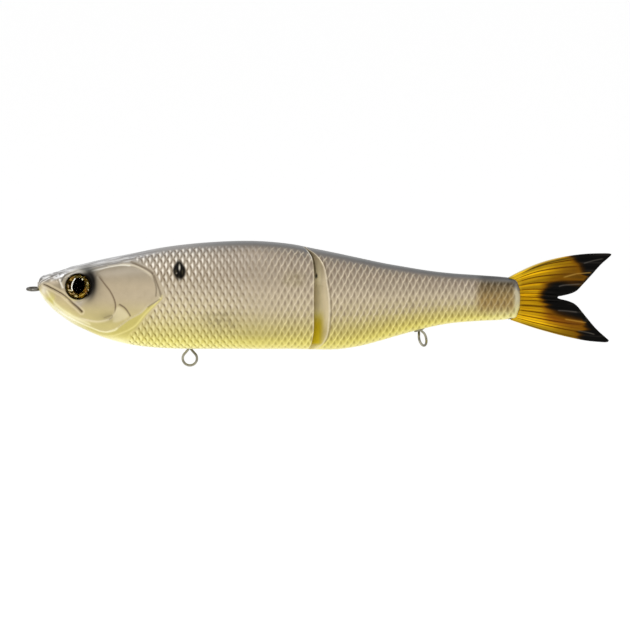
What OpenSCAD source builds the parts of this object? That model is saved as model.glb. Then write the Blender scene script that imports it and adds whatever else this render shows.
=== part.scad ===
// Two-section jointed glide swimbait with swivelling hook hangers and a soft tail fin.
// Millimetres. +X runs from the nose to the tail, +Z is up, and the origin is the
// centre of the line-tie eye in front of the nose. The left side of the fish is -Y.

/* [Body] */
// Wall thickness of the moulded half shells
wall = 1.8; // [1.4:0.1:2.2]
// Diameter of the 3D eye
eye_d = 9; // [8:0.5:9.5]
// Radius of the alignment bosses between the half shells
boss_r = 2.2; // [2:0.1:2.6]

/* [Joint] */
// How far the rear section swings to each side, in degrees
swing = 22; // [15:1:26]
// Diameter of the steel joint pin
pin_d = 1.6; // [1.4:0.1:1.8]
// Wire diameter of the two joint eyes
joint_wire_d = 1.2; // [1:0.1:1.2]
// Height of the upper joint eye
joint_eye_top = 3.5; // [3:0.5:6]
// Height of the lower joint eye
joint_eye_low = -10.5; // [-12:0.5:-9]

/* [Hardware] */
// Wire diameter of the line tie
tie_wire_d = 1; // [0.9:0.05:1.1]
// Wire diameter of the hook hanger eyes
hang_wire_d = 0.9; // [0.8:0.05:1]
// Turn of the rear hanger eye about its own stem
rear_hanger_turn = 62; // [0:1:90]
// Diameter of the two front ballast slugs
front_ballast_d = 9; // [6:0.5:9]
// Length of the two front ballast slugs
front_ballast_l = 15; // [10:1:15]
// Diameter of the rear ballast plug
rear_ballast_d = 5.6; // [4:0.2:6]

/* [Tail] */
// Thickness of the soft tail at its root
fin_t = 2.2; // [1.8:0.1:2.3]
// Thickness of the soft tail at its tips
fin_tip_t = 1; // [0.8:0.1:1.4]

/* [Hidden] */
$fn = 48;

// Body stations: x, top z, bottom z, half width, z of the widest point,
// roundness above and roundness below (2 is an ellipse, 3 is boxy)
ST = [
    [1.8, 2.5, 0.1, 1.2, 1.3, 2, 2],
    [2.2, 3.7, -1.0, 2.0, 1.3, 2, 2],
    [3, 4.5, -2.6, 2.8, 1.0, 2.1, 2],
    [4.4, 5.0, -4.5, 3.7, 0.6, 2.2, 2],
    [7, 5.7, -7.3, 5.0, 0.3, 2.4, 2],
    [10, 6.6, -9.7, 6.2, -0.1, 2.6, 2],
    [14, 7.8, -12.4, 7.5, -0.6, 2.7, 2.1],
    [20, 9.3, -15.2, 8.9, -1.2, 2.6, 2.2],
    [27, 10.9, -17.9, 10.1, -1.8, 2.4, 2.3],
    [35, 12.5, -19.7, 10.9, -2.3, 2.3, 2.4],
    [45, 14.5, -20.7, 11.6, -2.8, 2.3, 2.5],
    [57, 16.0, -20.9, 12.0, -3.2, 2.3, 2.6],
    [70, 16.8, -20.9, 12.0, -3.5, 2.3, 2.6],
    [80, 16.7, -21.0, 11.7, -3.6, 2.4, 2.6],
    [90, 15.7, -21.0, 11.1, -3.6, 2.5, 2.6],
    [98, 14.1, -21.2, 10.5, -3.5, 2.6, 2.6],
    [106, 12.5, -21.2, 9.7, -3.5, 2.5, 2.6],
    [114, 10.8, -20.1, 8.7, -3.5, 2.4, 2.5],
    [122, 9.1, -18.0, 7.6, -3.4, 2.4, 2.5],
    [130, 7.7, -15.7, 6.5, -3.2, 2.4, 2.4],
    [138, 6.4, -13.6, 5.6, -2.9, 2.4, 2.4],
    [146, 5.5, -12.1, 4.8, -2.8, 2.4, 2.4],
    [156, 4.8, -11.3, 4.1, -2.8, 2.4, 2.4],
    [164, 4.2, -10.9, 3.7, -2.9, 2.4, 2.4],
    [167, 3.7, -10.3, 3.4, -3, 2.4, 2.4],
    [168.8, 2.5, -9.2, 2.9, -3.1, 2.4, 2.4],
    [169.8, 0, -6.8, 2.2, -3.2, 2.4, 2.4]
];
FRONT_X = [1.8, 2.2, 3, 4.4, 7, 10, 14, 18, 23, 28, 34, 40, 47, 54, 62, 70, 78, 85, 91, 96, 101];
REAR_X = [93, 98, 103, 108, 114, 120, 126, 132, 138, 145, 152, 159, 164, 167, 168.8, 169.8];
RING = 12;            // steps round a half section
PIN_X = 98.4;         // joint axis
NOSE_R = 3.4;         // radius of the rear section's knuckle
GAP = 0.4;            // air between knuckle and pocket
LIP_X = 98;           // flat rear rim of the front section
PIN_R = pin_d / 2;
PIN_LO = -17;
PIN_HI = 10.5;
JW = joint_wire_d / 2;
EYE_X = 16.2;
EYE_Z = 2.2;
EYE_Y = 7.3;
EYE_YAW = 11;         // the eyes look a little forward
EYE_ROLL = 11;        // and a little up
FH = [54.4, -24.8];   // front hanger eye, x and z
RH = [136.1, -17.7];  // rear hanger eye, x and z
RH_TILT = 20;         // rear stem leans back from the vertical
HANG_R = 2.52;        // middle of the hanger wire's ring
BARREL_R = 2;
TIE_R = 2.1;          // middle of the line tie's ring
FLEX_X = 171.3;       // line about which the soft tail bends
TAB_END = 169.9;

// Cubic curve through column k of the stations
function at(x, k, i = 0) =
    i < len(ST) - 2 && x > ST[i + 1][0] ? at(x, k, i + 1) : let(
        a = ST[i], b = ST[i + 1], h = b[0] - a[0], u = (x - a[0]) / h,
        da = i == 0 ? (b[k] - a[k]) / h : (b[k] - ST[i - 1][k]) / (b[0] - ST[i - 1][0]),
        db = i == len(ST) - 2 ? (b[k] - a[k]) / h : (ST[i + 2][k] - a[k]) / (ST[i + 2][0] - a[0])
    ) a[k] * (1 + 2 * u) * (1 - u) * (1 - u) + da * h * u * (1 - u) * (1 - u)
        + b[k] * u * u * (3 - 2 * u) - db * h * u * u * (1 - u);

// Half section at x, drawn in by inset, with its flat side at y = -back
function half_ring(x, inset, back) = let(
    zt = at(x, 1) - inset, zb = at(x, 2) + inset, w = at(x, 3) - inset, zc = at(x, 4),
    et = 2 / at(x, 5), eb = 2 / at(x, 6),
    arc = [for (j = [0:RING]) let(t = -90 + 180 * j / RING, c = max(0, cos(t)))
        t < 0 ? [x, w * pow(c, eb), zc - (zc - zb) * pow(-sin(t), eb)]
            : [x, w * pow(c, et), zc + (zt - zc) * pow(sin(t), et)]]
) back > 0 ? concat([[x, -back, zb]], arc, [[x, -back, zt]]) : arc;

module loft(xs, inset, back) {
    rings = [for (x = xs) half_ring(x, inset, back)];
    n = len(rings[0]);
    last = len(rings) - 1;
    polyhedron(
        points = [for (r = rings) each r],
        faces = concat(
            [for (i = [0:last - 1], j = [0:n - 1]) let(k = (j + 1) % n)
                [i * n + j, (i + 1) * n + j, (i + 1) * n + k]],
            [for (i = [0:last - 1], j = [0:n - 1]) let(k = (j + 1) % n)
                [i * n + j, (i + 1) * n + k, i * n + k]],
            [[for (j = [0:n - 1]) j]],
            [[for (j = [n - 1:-1:0]) last * n + j]]
        )
    );
}

module y_rod(r, y0, y1) { translate([0, y0, 0]) rotate([-90, 0, 0]) cylinder(r = r, h = y1 - y0); }
module x_rod(r, x0, x1) { translate([x0, 0, 0]) rotate([0, 90, 0]) cylinder(r = r, h = x1 - x0); }

// Round knuckle about the joint axis, with two flat cheeks tangent to it that open at angle a to x
module knuckle_plan(r, a, back) {
    far = [-r * sin(a) + 30 * cos(a), r * cos(a) + 30 * sin(a)];
    translate([PIN_X, 0]) polygon(concat(
        [for (i = [0:12]) let(t = 90 + a + i * (180 - 2 * a) / 12) [r * cos(t), r * sin(t)]],
        [[far[0], -far[1]], [back, -40], [back, 40], far]));
}

// Plan of the rear section's front end
module wedge_plan(grow) { knuckle_plan(NOSE_R + grow, 45, 80); }

// Plan of the room that it swings in: the cheeks turned by the swing and a little more
module notch_plan(grow) {
    r = NOSE_R + GAP + grow;
    a = 45 + swing + 2;
    x = LIP_X - PIN_X - grow;
    y = r * cos(a) + (x + r * sin(a)) * tan(a);
    translate([PIN_X, 0]) polygon(concat(
        [for (i = [0:12]) let(t = 90 + a + i * (180 - 2 * a) / 12) [r * cos(t), r * sin(t)]],
        [[x, -y], [x, -40], [40, -40], [40, 40], [x, 40], [x, y]]));
}

module prism(z0 = -40, z1 = 40) { translate([0, 0, z0]) linear_extrude(z1 - z0) children(); }

FRONT_SLUGS = [36.3, 58.4];
FRONT_BOSS = [[27, -3], [40, 7], [78, 10], [31, -13]];
REAR_BOSS = [[112, 4], [116, -13], [144, -3]];

// Places things in an eye socket, with z out of the head
module at_eye(side) {
    translate([EYE_X, side * EYE_Y, EYE_Z]) rotate([0, 0, side * EYE_YAW])
        rotate([side * (EYE_ROLL - 90), 0, 0]) children();
}
module at_front_hanger() { translate([FH[0], 0, FH[1]]) children(); }
module at_rear_hanger() { translate([RH[0], 0, RH[1]]) rotate([0, RH_TILT * -1, 0]) children(); }

module head_shell(side) {
    mirror([0, side < 0 ? 1 : 0, 0]) difference() {
        union() {
            loft(FRONT_X, 0, 0);
            at_eye(1) translate([0, 0, -3]) cylinder(r = eye_d / 2 + 0.7, h = 2.8);
        }
        // hollow inside, with bosses, ribs and blocks left standing
        difference() {
            loft([for (x = FRONT_X) if (x > 8) x], wall, 0.5);
            prism() notch_plan(2.2);
            for (p = FRONT_BOSS) translate([p[0], 0, p[1]]) y_rod(boss_r, -1, 16);
            translate([FH[0], 0, -23]) cylinder(r = BARREL_R + 1.4, h = 12.5);
            for (z = [joint_eye_top, joint_eye_low]) translate([80.5, -1, z - 2.4]) cube([14, 4.4, 4.8]);
            for (x = FRONT_SLUGS, d = [-1.2, 6.8, front_ballast_l - 0.2])
                translate([x + d, -1, -22]) cube([1.4, 20, 13]);
            translate([8, -1, -3.6]) cube([9, 4.4, 7.2]);
            at_eye(1) translate([0, 0, -3]) cylinder(r = eye_d / 2 + 1.2, h = 6);
        }
        // ballast seats
        for (x = FRONT_SLUGS)
            translate([0, 0, -12]) x_rod(front_ballast_d / 2 + 0.05, x - 0.05, x + front_ballast_l + 0.05);
        prism() notch_plan(0);
        at_eye(1) translate([0, 0, -0.9]) cylinder(r = eye_d / 2 + 0.1, h = 8);
        // line tie: eye clearance, stem groove and anchor
        translate([0, 0, -0.65]) cylinder(r = TIE_R + tie_wire_d / 2 + 0.15, h = 1.3);
        x_rod(tie_wire_d / 2 + 0.03, 2, 14.53);
        translate([14, 0, -3.03]) cylinder(r = tie_wire_d / 2 + 0.03, h = 6.06);
        // front hanger barrel
        translate([FH[0], 0, -26]) cylinder(r = BARREL_R + 0.02, h = 12.12);
        // joint eye stems and their turned ends
        for (z = [joint_eye_top, joint_eye_low]) {
            translate([0, 0, z]) x_rod(JW + 0.03, 82.37, 98);
            translate([83, 0, z - 1.83]) cylinder(r = JW + 0.03, h = 3.66);
        }
        if (side > 0) for (p = FRONT_BOSS) translate([p[0], 0, p[1]]) y_rod(1.05, -1, 3);
    }
    if (side < 0) for (p = FRONT_BOSS) translate([p[0], 0, p[1]]) y_rod(1, -1, 2.6);
}

module rear_shell(side) {
    mirror([0, side < 0 ? 1 : 0, 0]) difference() {
        intersection() {
            loft(REAR_X, 0, 0);
            prism() wedge_plan(0);
        }
        difference() {
            intersection() {
                loft([for (x = REAR_X) if (x > 95 && x < 153) x], wall, 0.5);
                prism() wedge_plan(-wall);
            }
            translate([PIN_X - 5, -1, -25]) cube([9.6, 20, 50]);
            for (p = REAR_BOSS) translate([p[0], 0, p[1]]) y_rod(boss_r, -1, 16);
            at_rear_hanger() translate([0, 0, 2]) cylinder(r = BARREL_R + 1.4, h = 12);
            translate([130.5, 0, -5]) y_rod(rear_ballast_d / 2 + 1.3, -1, 5.2);
        }
        // joint pin and the slots that the joint eyes turn in
        translate([PIN_X, 0, PIN_LO - 0.02]) cylinder(r = PIN_R + 0.01, h = PIN_HI - PIN_LO + 0.04);
        for (z = [joint_eye_top, joint_eye_low]) {
            translate([PIN_X, 0, z - JW - 0.45]) cylinder(r = 2.75, h = 2 * JW + 0.9);
            translate([PIN_X - 6, -2.75, z - JW - 0.45]) cube([6, 5.5, 2 * JW + 0.9]);
        }
        translate([130.5, 0, -5]) y_rod(rear_ballast_d / 2 + 0.05, -1, 4.05);
        at_rear_hanger() translate([0, 0, -2]) cylinder(r = BARREL_R + 0.02, h = 12.52);
        // tail slot and cross pin
        translate([156, -1, -8.7]) cube([20, 1 + fin_t / 2 + 0.08, 10.4]);
        translate([165.9, -1, -20]) cube([20, 1 + fin_t / 2 + 0.08, 40]);
        translate([161, 0, -3.5]) y_rod(0.8, -1, 2.72);
        if (side > 0) for (p = REAR_BOSS) translate([p[0], 0, p[1]]) y_rod(1.05, -1, 3);
    }
    if (side < 0) for (p = REAR_BOSS) translate([p[0], 0, p[1]]) y_rod(1, -1, 2.6);
}

// Closed wire eye about z, with the inside of the ring coined flat
module wire_eye(ring_r, wire_r, bore_r) {
    rotate_extrude() difference() {
        translate([ring_r, 0]) circle(r = wire_r);
        translate([0, -2]) square([bore_r, 4]);
    }
}

module line_tie() {
    r = tie_wire_d / 2;
    color("dimgray") {
        wire_eye(TIE_R, r, TIE_R - 0.84 * r);
        x_rod(r, TIE_R, 14);
        translate([14, 0, -3]) cylinder(r = r, h = 6);
    }
}

module iris(side) { color("goldenrod") at_eye(side) translate([0, 0, -0.85]) cylinder(r = eye_d / 2, h = 0.6); }

module lens(side) {
    h = 1.5;
    r = eye_d / 2;
    big = (r * r + h * h) / (2 * h);
    color("lightcyan") at_eye(side) translate([0, 0, -0.25]) {
        cylinder(r = r, h = 0.3);
        intersection() {
            translate([0, 0, 0.3 + h - big]) sphere(r = big, $fn = 96);
            translate([0, 0, 0.2]) cylinder(r = r, h = 4);
        }
    }
}

module ballast_slug(x0) {
    color("slategray") translate([0, 0, -12]) x_rod(front_ballast_d / 2, x0, x0 + front_ballast_l);
}

// Swivel barrel: a sleeve with a chamber for the stem's rivet head. z = 0 is the eye's centre
module barrel(z0) {
    color("silver") difference() {
        translate([0, 0, z0]) cylinder(r = BARREL_R, h = 7);
        translate([0, 0, z0 - 1]) cylinder(r = hang_wire_d / 2 + 0.05, h = 5);
        translate([0, 0, z0 + 3]) cylinder(r = 1.3, h = 3);
    }
}

module hanger_eye(z0) {
    r = hang_wire_d / 2;
    color("silver") {
        rotate([90, 0, 0]) wire_eye(HANG_R, r, HANG_R - 0.84 * r);
        translate([0, 0, HANG_R]) cylinder(r = r, h = z0 + 4 - HANG_R);
        translate([0, 0, z0 + 3.2]) cylinder(r = 1.1, h = 1.6);
    }
}

module joint_eye(z) {
    color("silver") translate([0, 0, z]) {
        translate([PIN_X, 0, 0]) rotate_extrude() difference() {
            translate([PIN_R + 0.08 + JW * 0.84, 0]) circle(r = JW);
            translate([0, -2]) square([PIN_R + 0.08, 4]);
        }
        x_rod(JW, 83, PIN_X - PIN_R - JW);
        translate([83, 0, -1.8]) cylinder(r = JW, h = 3.6);
    }
}

module joint_pin() { color("silver") translate([PIN_X, 0, PIN_LO]) cylinder(r = PIN_R, h = PIN_HI - PIN_LO); }

module rear_ballast() { color("slategray") translate([130.5, 0, -5]) y_rod(rear_ballast_d / 2, -4, 4); }

// Outline of the whole soft tail, side view
module tail_outline() {
    polygon([
        [166.2, 4.3], [169.9, 6.3], [174.6, 8.5], [179.2, 10.1], [183.9, 11.2], [188.5, 12], [193.2, 12.5],
        [197.8, 12.6], [201.7, 12.4], [197.9, 8.5], [194.9, 5], [191.8, 1.5], [189.7, -0.7], [187.2, -1.8],
        [184.7, -2.3], [183.2, -2.9], [184.1, -3.5], [187.3, -4.4], [189.8, -5.8], [193, -9.6], [196.8, -14.1],
        [201.4, -18.3], [200.1, -19], [193.8, -18.5], [189.1, -17.6], [184.4, -16.5], [179.6, -15.2],
        [174.9, -13.8], [170.2, -12.2], [166.8, -11]]);
}

module tail_tab() {
    color("peru") difference() {
        intersection() {
            union() {
                translate([0, fin_t / 2, 0]) rotate([90, 0, 0]) linear_extrude(fin_t) tail_outline();
                translate([156.4, -fin_t / 2, -8.4]) cube([12, fin_t, 9.8]);
            }
            translate([150, -3, -30]) cube([TAB_END - 150, 6, 60]);
        }
        translate([161, 0, -3.5]) y_rod(0.85, -3, 3);
    }
}

module tail_blade() {
    r = fin_t / 2;
    color("goldenrod") intersection() {
        translate([0, 4, 0]) rotate([90, 0, 0]) linear_extrude(8) tail_outline();
        prism(-30, 30) polygon(concat(
            [for (t = [90:15:270]) [FLEX_X + r * cos(t), r * sin(t)]],
            [[203, -fin_tip_t / 2], [203, fin_tip_t / 2]]));
    }
}

module tail_cross_pin() { color("silver") translate([161, 0, -3.5]) y_rod(0.78, -2.65, 2.65); }

color("wheat") head_shell(-1);  // head_shell_left
color("wheat") head_shell(1);  // head_shell_right
line_tie();
iris(-1);  // iris_left
iris(1);  // iris_right
lens(-1);  // lens_left
lens(1);  // lens_right
ballast_slug(FRONT_SLUGS[0]);  // ballast_fore
ballast_slug(FRONT_SLUGS[1]);  // ballast_aft
at_front_hanger() barrel(3.9);  // front_hanger_barrel
at_front_hanger() hanger_eye(3.9);  // front_hanger_eye
joint_eye(joint_eye_top);  // joint_eye_upper
joint_eye(joint_eye_low);  // joint_eye_lower
color("wheat") rear_shell(-1);  // rear_shell_left
color("wheat") rear_shell(1);  // rear_shell_right
joint_pin();
rear_ballast();
at_rear_hanger() barrel(3.3);  // rear_hanger_barrel
at_rear_hanger() rotate([0, 0, rear_hanger_turn]) hanger_eye(3.3);  // rear_hanger_eye
tail_tab();
tail_blade();
tail_cross_pin();
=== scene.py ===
"""Looks of the two-section swimbait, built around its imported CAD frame. Lengths in this file are millimetres unless said."""

import math

import bpy
import numpy as np
from mathutils import Matrix, Vector
from mathutils.geometry import tessellate_polygon


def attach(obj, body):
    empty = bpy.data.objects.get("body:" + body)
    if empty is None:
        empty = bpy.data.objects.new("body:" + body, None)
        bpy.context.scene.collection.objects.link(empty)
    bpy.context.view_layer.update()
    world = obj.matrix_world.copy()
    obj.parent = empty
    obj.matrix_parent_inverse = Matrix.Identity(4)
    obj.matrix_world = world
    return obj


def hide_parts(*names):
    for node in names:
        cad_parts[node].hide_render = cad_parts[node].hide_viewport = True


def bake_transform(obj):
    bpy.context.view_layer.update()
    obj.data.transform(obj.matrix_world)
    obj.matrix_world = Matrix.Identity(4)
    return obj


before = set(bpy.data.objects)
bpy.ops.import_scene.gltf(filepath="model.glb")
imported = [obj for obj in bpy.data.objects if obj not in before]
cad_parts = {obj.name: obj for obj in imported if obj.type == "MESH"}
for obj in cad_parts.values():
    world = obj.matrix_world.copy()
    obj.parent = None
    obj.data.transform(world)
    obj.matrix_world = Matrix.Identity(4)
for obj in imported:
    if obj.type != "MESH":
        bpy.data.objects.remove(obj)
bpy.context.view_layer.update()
MM = 0.001

# ---------------------------------------------------------------- camera numbers
CAM_EL = 11.0            # degrees above the horizon
CAM_D = 918.75           # from the camera to the target
CAM_T = (98.35, 0.0, -9.27)
PX = 0.35                # mm per picture unit at the target


def project(p):
    """Picture place of points on the near half; the far half is its mirror image."""
    e = math.radians(CAM_EL)
    x = p[..., 0] - CAM_T[0]
    y = -np.abs(p[..., 1])
    z = p[..., 2] - CAM_T[2]
    d = CAM_D + y * math.cos(e) - z * math.sin(e)
    k = CAM_D / d / PX
    return 315 + x * k, 315 - (y * math.sin(e) + z * math.cos(e)) * k


# ---------------------------------------------------------------- small helpers
def smooth(a, b, x):
    t = np.clip((np.asarray(x, float) - a) / (b - a), 0, 1)
    return t * t * (3 - 2 * t)


def mix(a, b, t):
    t = np.asarray(t, float)
    if t.ndim and (np.shape(a)[-1:] == (3,) or np.shape(b)[-1:] == (3,)):
        t = t[..., None]
    return a * (1 - t) + b * t


def rgb(*c):
    return np.array(c, float) / 255.0


def to_linear(c):
    c = np.clip(c, 0, 1)
    return np.where(c <= 0.04045, c / 12.92, ((c + 0.055) / 1.055) ** 2.4)


def noise2(x, y, seed):
    """Smooth value noise, about one feature per unit, from 0 to 1."""
    grid = np.random.default_rng(seed).random((128, 128))
    xi, yi = np.floor(x).astype(int), np.floor(y).astype(int)
    fx, fy = x - xi, y - yi
    fx, fy = fx * fx * (3 - 2 * fx), fy * fy * (3 - 2 * fy)
    g = lambda i, j: grid[(xi + i) % 128, (yi + j) % 128]
    return (g(0, 0) * (1 - fx) + g(1, 0) * fx) * (1 - fy) + (g(0, 1) * (1 - fx) + g(1, 1) * fx) * fy


def fbm(x, y, seed):
    return (noise2(x, y, seed) * 0.55 + noise2(x * 2.1, y * 2.1, seed + 1) * 0.3 + noise2(x * 4.3, y * 4.3, seed + 2) * 0.15)


def curve(points, per=10, closed=False):
    """A smooth Catmull-Rom line through the points."""
    p = np.array(points, float)
    n = len(p)
    out = []
    for i in range(n if closed else n - 1):
        if closed:
            a, b, c, d = p[(i - 1) % n], p[i], p[(i + 1) % n], p[(i + 2) % n]
        else:
            a, b, c, d = p[max(i - 1, 0)], p[i], p[i + 1], p[min(i + 2, n - 1)]
        for k in range(per):
            t = k / per
            out.append(0.5 * (2 * b + (c - a) * t + (2 * a - 5 * b + 4 * c - d) * t * t + (3 * b - a - 3 * c + d) * t ** 3))
    if not closed:
        out.append(p[-1])
    return np.array(out)


def line_distance(x, y, line, closed=False):
    """Distance to a polyline, and how far along it (0 to 1) the nearest point is."""
    shape = x.shape
    q = np.stack([x.ravel(), y.ravel()], 1)
    p = np.vstack([line, line[:1]]) if closed else line
    near = (q[:, 0] > p[:, 0].min() - 40) & (q[:, 0] < p[:, 0].max() + 40) & (q[:, 1] > p[:, 1].min() - 40) & (q[:, 1] < p[:, 1].max() + 40)
    best = np.full(len(q), 99.0)
    along = np.zeros(len(q))
    qq = q[near]
    b, s = np.full(len(qq), 99.0), np.zeros(len(qq))
    for i in range(len(p) - 1):
        a, v = p[i], p[i + 1] - p[i]
        t = np.clip(((qq - a) @ v) / max(v @ v, 1e-12), 0, 1)
        d = np.hypot(*(qq - a - t[:, None] * v).T)
        hit = d < b
        b[hit] = d[hit]
        s[hit] = (i + t[hit]) / (len(p) - 1)
    best[near], along[near] = b, s
    return best.reshape(shape), along.reshape(shape)


def inside(x, y, poly):
    shape = x.shape
    x, y = x.ravel(), y.ravel()
    odd = np.zeros(len(x), bool)
    for i in range(len(poly)):
        (x0, y0), (x1, y1) = poly[i - 1], poly[i]
        if y0 == y1:
            continue
        cross = ((y0 > y) != (y1 > y)) & (x < (x1 - x0) * (y - y0) / (y1 - y0) + x0)
        odd ^= cross
    return odd.reshape(shape)


def signed(x, y, poly):
    """Distance to a closed outline, positive inside."""
    d, _ = line_distance(x, y, poly, closed=True)
    return np.where(inside(x, y, poly), d, -d)


# ---------------------------------------------------------------- mesh helpers
def make_mesh(name, co, quads, tris, sharp=48):
    """A mesh object from points in mm; coincident points are joined, and faces that fold to nothing are dropped."""
    co = np.asarray(co, float)
    key = np.round(co * 5000).astype(np.int64)
    _, first, back = np.unique(key, axis=0, return_index=True, return_inverse=True)
    back = back.reshape(-1)
    quads = back[np.asarray(quads, int).reshape(-1, 4)]
    tris = back[np.asarray(tris, int).reshape(-1, 3)]
    same = quads == np.roll(quads, -1, axis=1)
    bad = same.sum(1)
    extra = []
    for q, s in zip(quads[bad == 1], same[bad == 1]):
        extra.append([v for v, x in zip(q, s) if not x])
    quads = quads[bad == 0]
    cross = (quads[:, 0] == quads[:, 2]) | (quads[:, 1] == quads[:, 3])
    quads = quads[~cross]
    if extra:
        tris = np.vstack([tris, np.array(extra, int)])
    tris = tris[(tris[:, 0] != tris[:, 1]) & (tris[:, 1] != tris[:, 2]) & (tris[:, 0] != tris[:, 2])]
    for _ in range(2):
        for faces in ("q", "t"):
            f = quads if faces == "q" else tris
            if not len(f):
                continue
            _, inv, n = np.unique(np.sort(f, 1), axis=0, return_inverse=True, return_counts=True)
            keep = n[inv.reshape(-1)] == 1
            if faces == "q":
                quads = f[keep]
            else:
                tris = f[keep]
    used = np.unique(np.concatenate([quads.ravel(), tris.ravel()]))
    remap = np.full(len(first), -1)
    remap[used] = np.arange(len(used))
    quads, tris = remap[quads], remap[tris]
    source = first[used]
    me = bpy.data.meshes.new(name)
    me.vertices.add(len(source))
    me.vertices.foreach_set("co", (co[source] * MM).astype(np.float32).ravel())
    loops = np.concatenate([quads.ravel(), tris.ravel()]).astype(np.int32)
    me.loops.add(len(loops))
    me.loops.foreach_set("vertex_index", loops)
    starts = np.concatenate([np.arange(len(quads)) * 4, len(quads) * 4 + np.arange(len(tris)) * 3]).astype(np.int32)
    me.polygons.add(len(starts))
    me.polygons.foreach_set("loop_start", starts)
    me.polygons.foreach_set("use_smooth", np.ones(len(starts), bool))
    me.update(calc_edges=True)
    me.validate()
    if sharp:
        me.set_sharp_from_angle(angle=math.radians(sharp))
    ob = bpy.data.objects.new(name, me)
    bpy.context.scene.collection.objects.link(ob)
    return ob, source


def paint(ob, source, colour, **masks):
    """Colours (sRGB, 0 to 1) and masks at the vertices, for the materials to read."""
    me = ob.data
    c = np.ones((len(source), 4), np.float32)
    c[:, :3] = to_linear(colour.reshape(-1, 3)[source])
    at_ = me.attributes.new("paint", "FLOAT_COLOR", "POINT")
    at_.data.foreach_set("color", c.ravel())
    for name, values in masks.items():
        m = me.attributes.new(name, "FLOAT", "POINT")
        m.data.foreach_set("value", values.reshape(-1)[source].astype(np.float32))


def grid_quads(rows, cols, base=0):
    i, j = np.meshgrid(np.arange(rows - 1), np.arange(cols - 1), indexing="ij")
    a = base + i * cols + j
    return np.stack([a, a + 1, a + cols + 1, a + cols], -1).reshape(-1, 4)


# ---------------------------------------------------------------- the body's section table
ST = np.array([
    [1.8, 2.5, 0.1, 1.2, 1.3, 2, 2], [2.2, 3.7, -1.0, 2.0, 1.3, 2, 2], [3, 4.5, -2.6, 2.8, 1.0, 2.1, 2],
    [4.4, 5.0, -4.5, 3.7, 0.6, 2.2, 2], [7, 5.7, -7.3, 5.0, 0.3, 2.4, 2], [10, 6.6, -9.7, 6.2, -0.1, 2.6, 2],
    [14, 7.8, -12.4, 7.5, -0.6, 2.7, 2.1], [20, 9.3, -15.2, 8.9, -1.2, 2.6, 2.2], [27, 10.9, -17.9, 10.1, -1.8, 2.4, 2.3],
    [35, 12.5, -19.7, 10.9, -2.3, 2.3, 2.4], [45, 14.5, -20.7, 11.6, -2.8, 2.3, 2.5], [57, 16.0, -20.9, 12.0, -3.2, 2.3, 2.6],
    [70, 16.8, -20.9, 12.0, -3.5, 2.3, 2.6], [80, 16.7, -21.0, 11.7, -3.6, 2.4, 2.6], [90, 15.7, -21.0, 11.1, -3.6, 2.5, 2.6],
    [98, 14.1, -21.2, 10.5, -3.5, 2.6, 2.6], [106, 12.5, -21.2, 9.7, -3.5, 2.5, 2.6], [114, 10.8, -20.1, 8.7, -3.5, 2.4, 2.5],
    [122, 9.1, -18.0, 7.6, -3.4, 2.4, 2.5], [130, 7.7, -15.7, 6.5, -3.2, 2.4, 2.4], [138, 6.4, -13.6, 5.6, -2.9, 2.4, 2.4],
    [146, 5.5, -12.1, 4.8, -2.8, 2.4, 2.4], [156, 4.8, -11.3, 4.1, -2.8, 2.4, 2.4], [164, 4.2, -10.9, 3.7, -2.9, 2.4, 2.4],
    [167, 3.7, -10.3, 3.4, -3, 2.4, 2.4], [168.8, 2.5, -9.2, 2.9, -3.1, 2.4, 2.4], [169.8, 0, -6.8, 2.2, -3.2, 2.4, 2.4]])
PIN_X = 98.4
NOSE_R = 3.4
POCKET_R = 3.8
SWING = 22
LIP_X = 98.0


def station(x, k):
    x = np.asarray(x, float)
    X, V = ST[:, 0], ST[:, k]
    i = np.clip(np.searchsorted(X, x, side="left") - 1, 0, len(X) - 2)
    a, b = X[i], X[i + 1]
    h, u = b - a, (x - a) / (b - a)
    lo, hi = np.maximum(i - 1, 0), np.minimum(i + 2, len(X) - 1)
    da = (V[i + 1] - V[lo]) / (b - X[lo])
    db = (V[hi] - V[i]) / (X[hi] - a)
    return (V[i] * (1 + 2 * u) * (1 - u) ** 2 + da * h * u * (1 - u) ** 2 + V[i + 1] * u * u * (3 - 2 * u) - db * h * u * u * (1 - u))


class Skin:
    """Half sections of the body, from the back's seam (row 0) to the belly's (last row), in rows of equal girth."""

    def __init__(self, rows, inset=0.0):
        self.rows = rows
        self.x = np.unique(np.concatenate([np.arange(1.8, 6, 0.05), np.arange(6, 164, 0.25), np.arange(164, 169.81, 0.05), [169.8]]))
        t = np.radians(np.linspace(90, -90, 1441))
        self.y = np.zeros((len(self.x), rows))
        self.z = np.zeros((len(self.x), rows))
        self.s = np.zeros((len(self.x), rows))
        frac = np.linspace(0, 1, rows)
        c = np.clip(np.cos(t), 0, 1)
        for i, x in enumerate(self.x):
            zt, zb, w, zc, nt, nb = [float(station(x, k)) for k in (1, 2, 3, 4, 5, 6)]
            zt, zb, w = zt - inset, zb + inset, w - inset
            y = np.where(t > 0, w * c ** (2 / nt), w * c ** (2 / nb))
            y[0] = y[-1] = 0
            z = np.where(t > 0, zc + (zt - zc) * np.abs(np.sin(t)) ** (2 / nt), zc - (zc - zb) * np.abs(np.sin(t)) ** (2 / nb))
            run = np.concatenate([[0], np.cumsum(np.hypot(np.diff(y), np.diff(z)))])
            want = frac * run[-1]
            self.y[i], self.z[i] = np.interp(want, run, y), np.interp(want, run, z)
            self.s[i] = run[720] - want

    def at(self, x):
        """x has shape (rows, columns); gives y (negative, the left half), z and the girth place s."""
        r = np.arange(self.rows)[:, None]
        i = np.clip(np.searchsorted(self.x, x, side="right") - 1, 0, len(self.x) - 2)
        t = np.clip((x - self.x[i]) / (self.x[i + 1] - self.x[i]), 0, 1)
        f = lambda a: a[i, r] * (1 - t) + a[i + 1, r] * t
        return -f(self.y), f(self.z), f(self.s)


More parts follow.
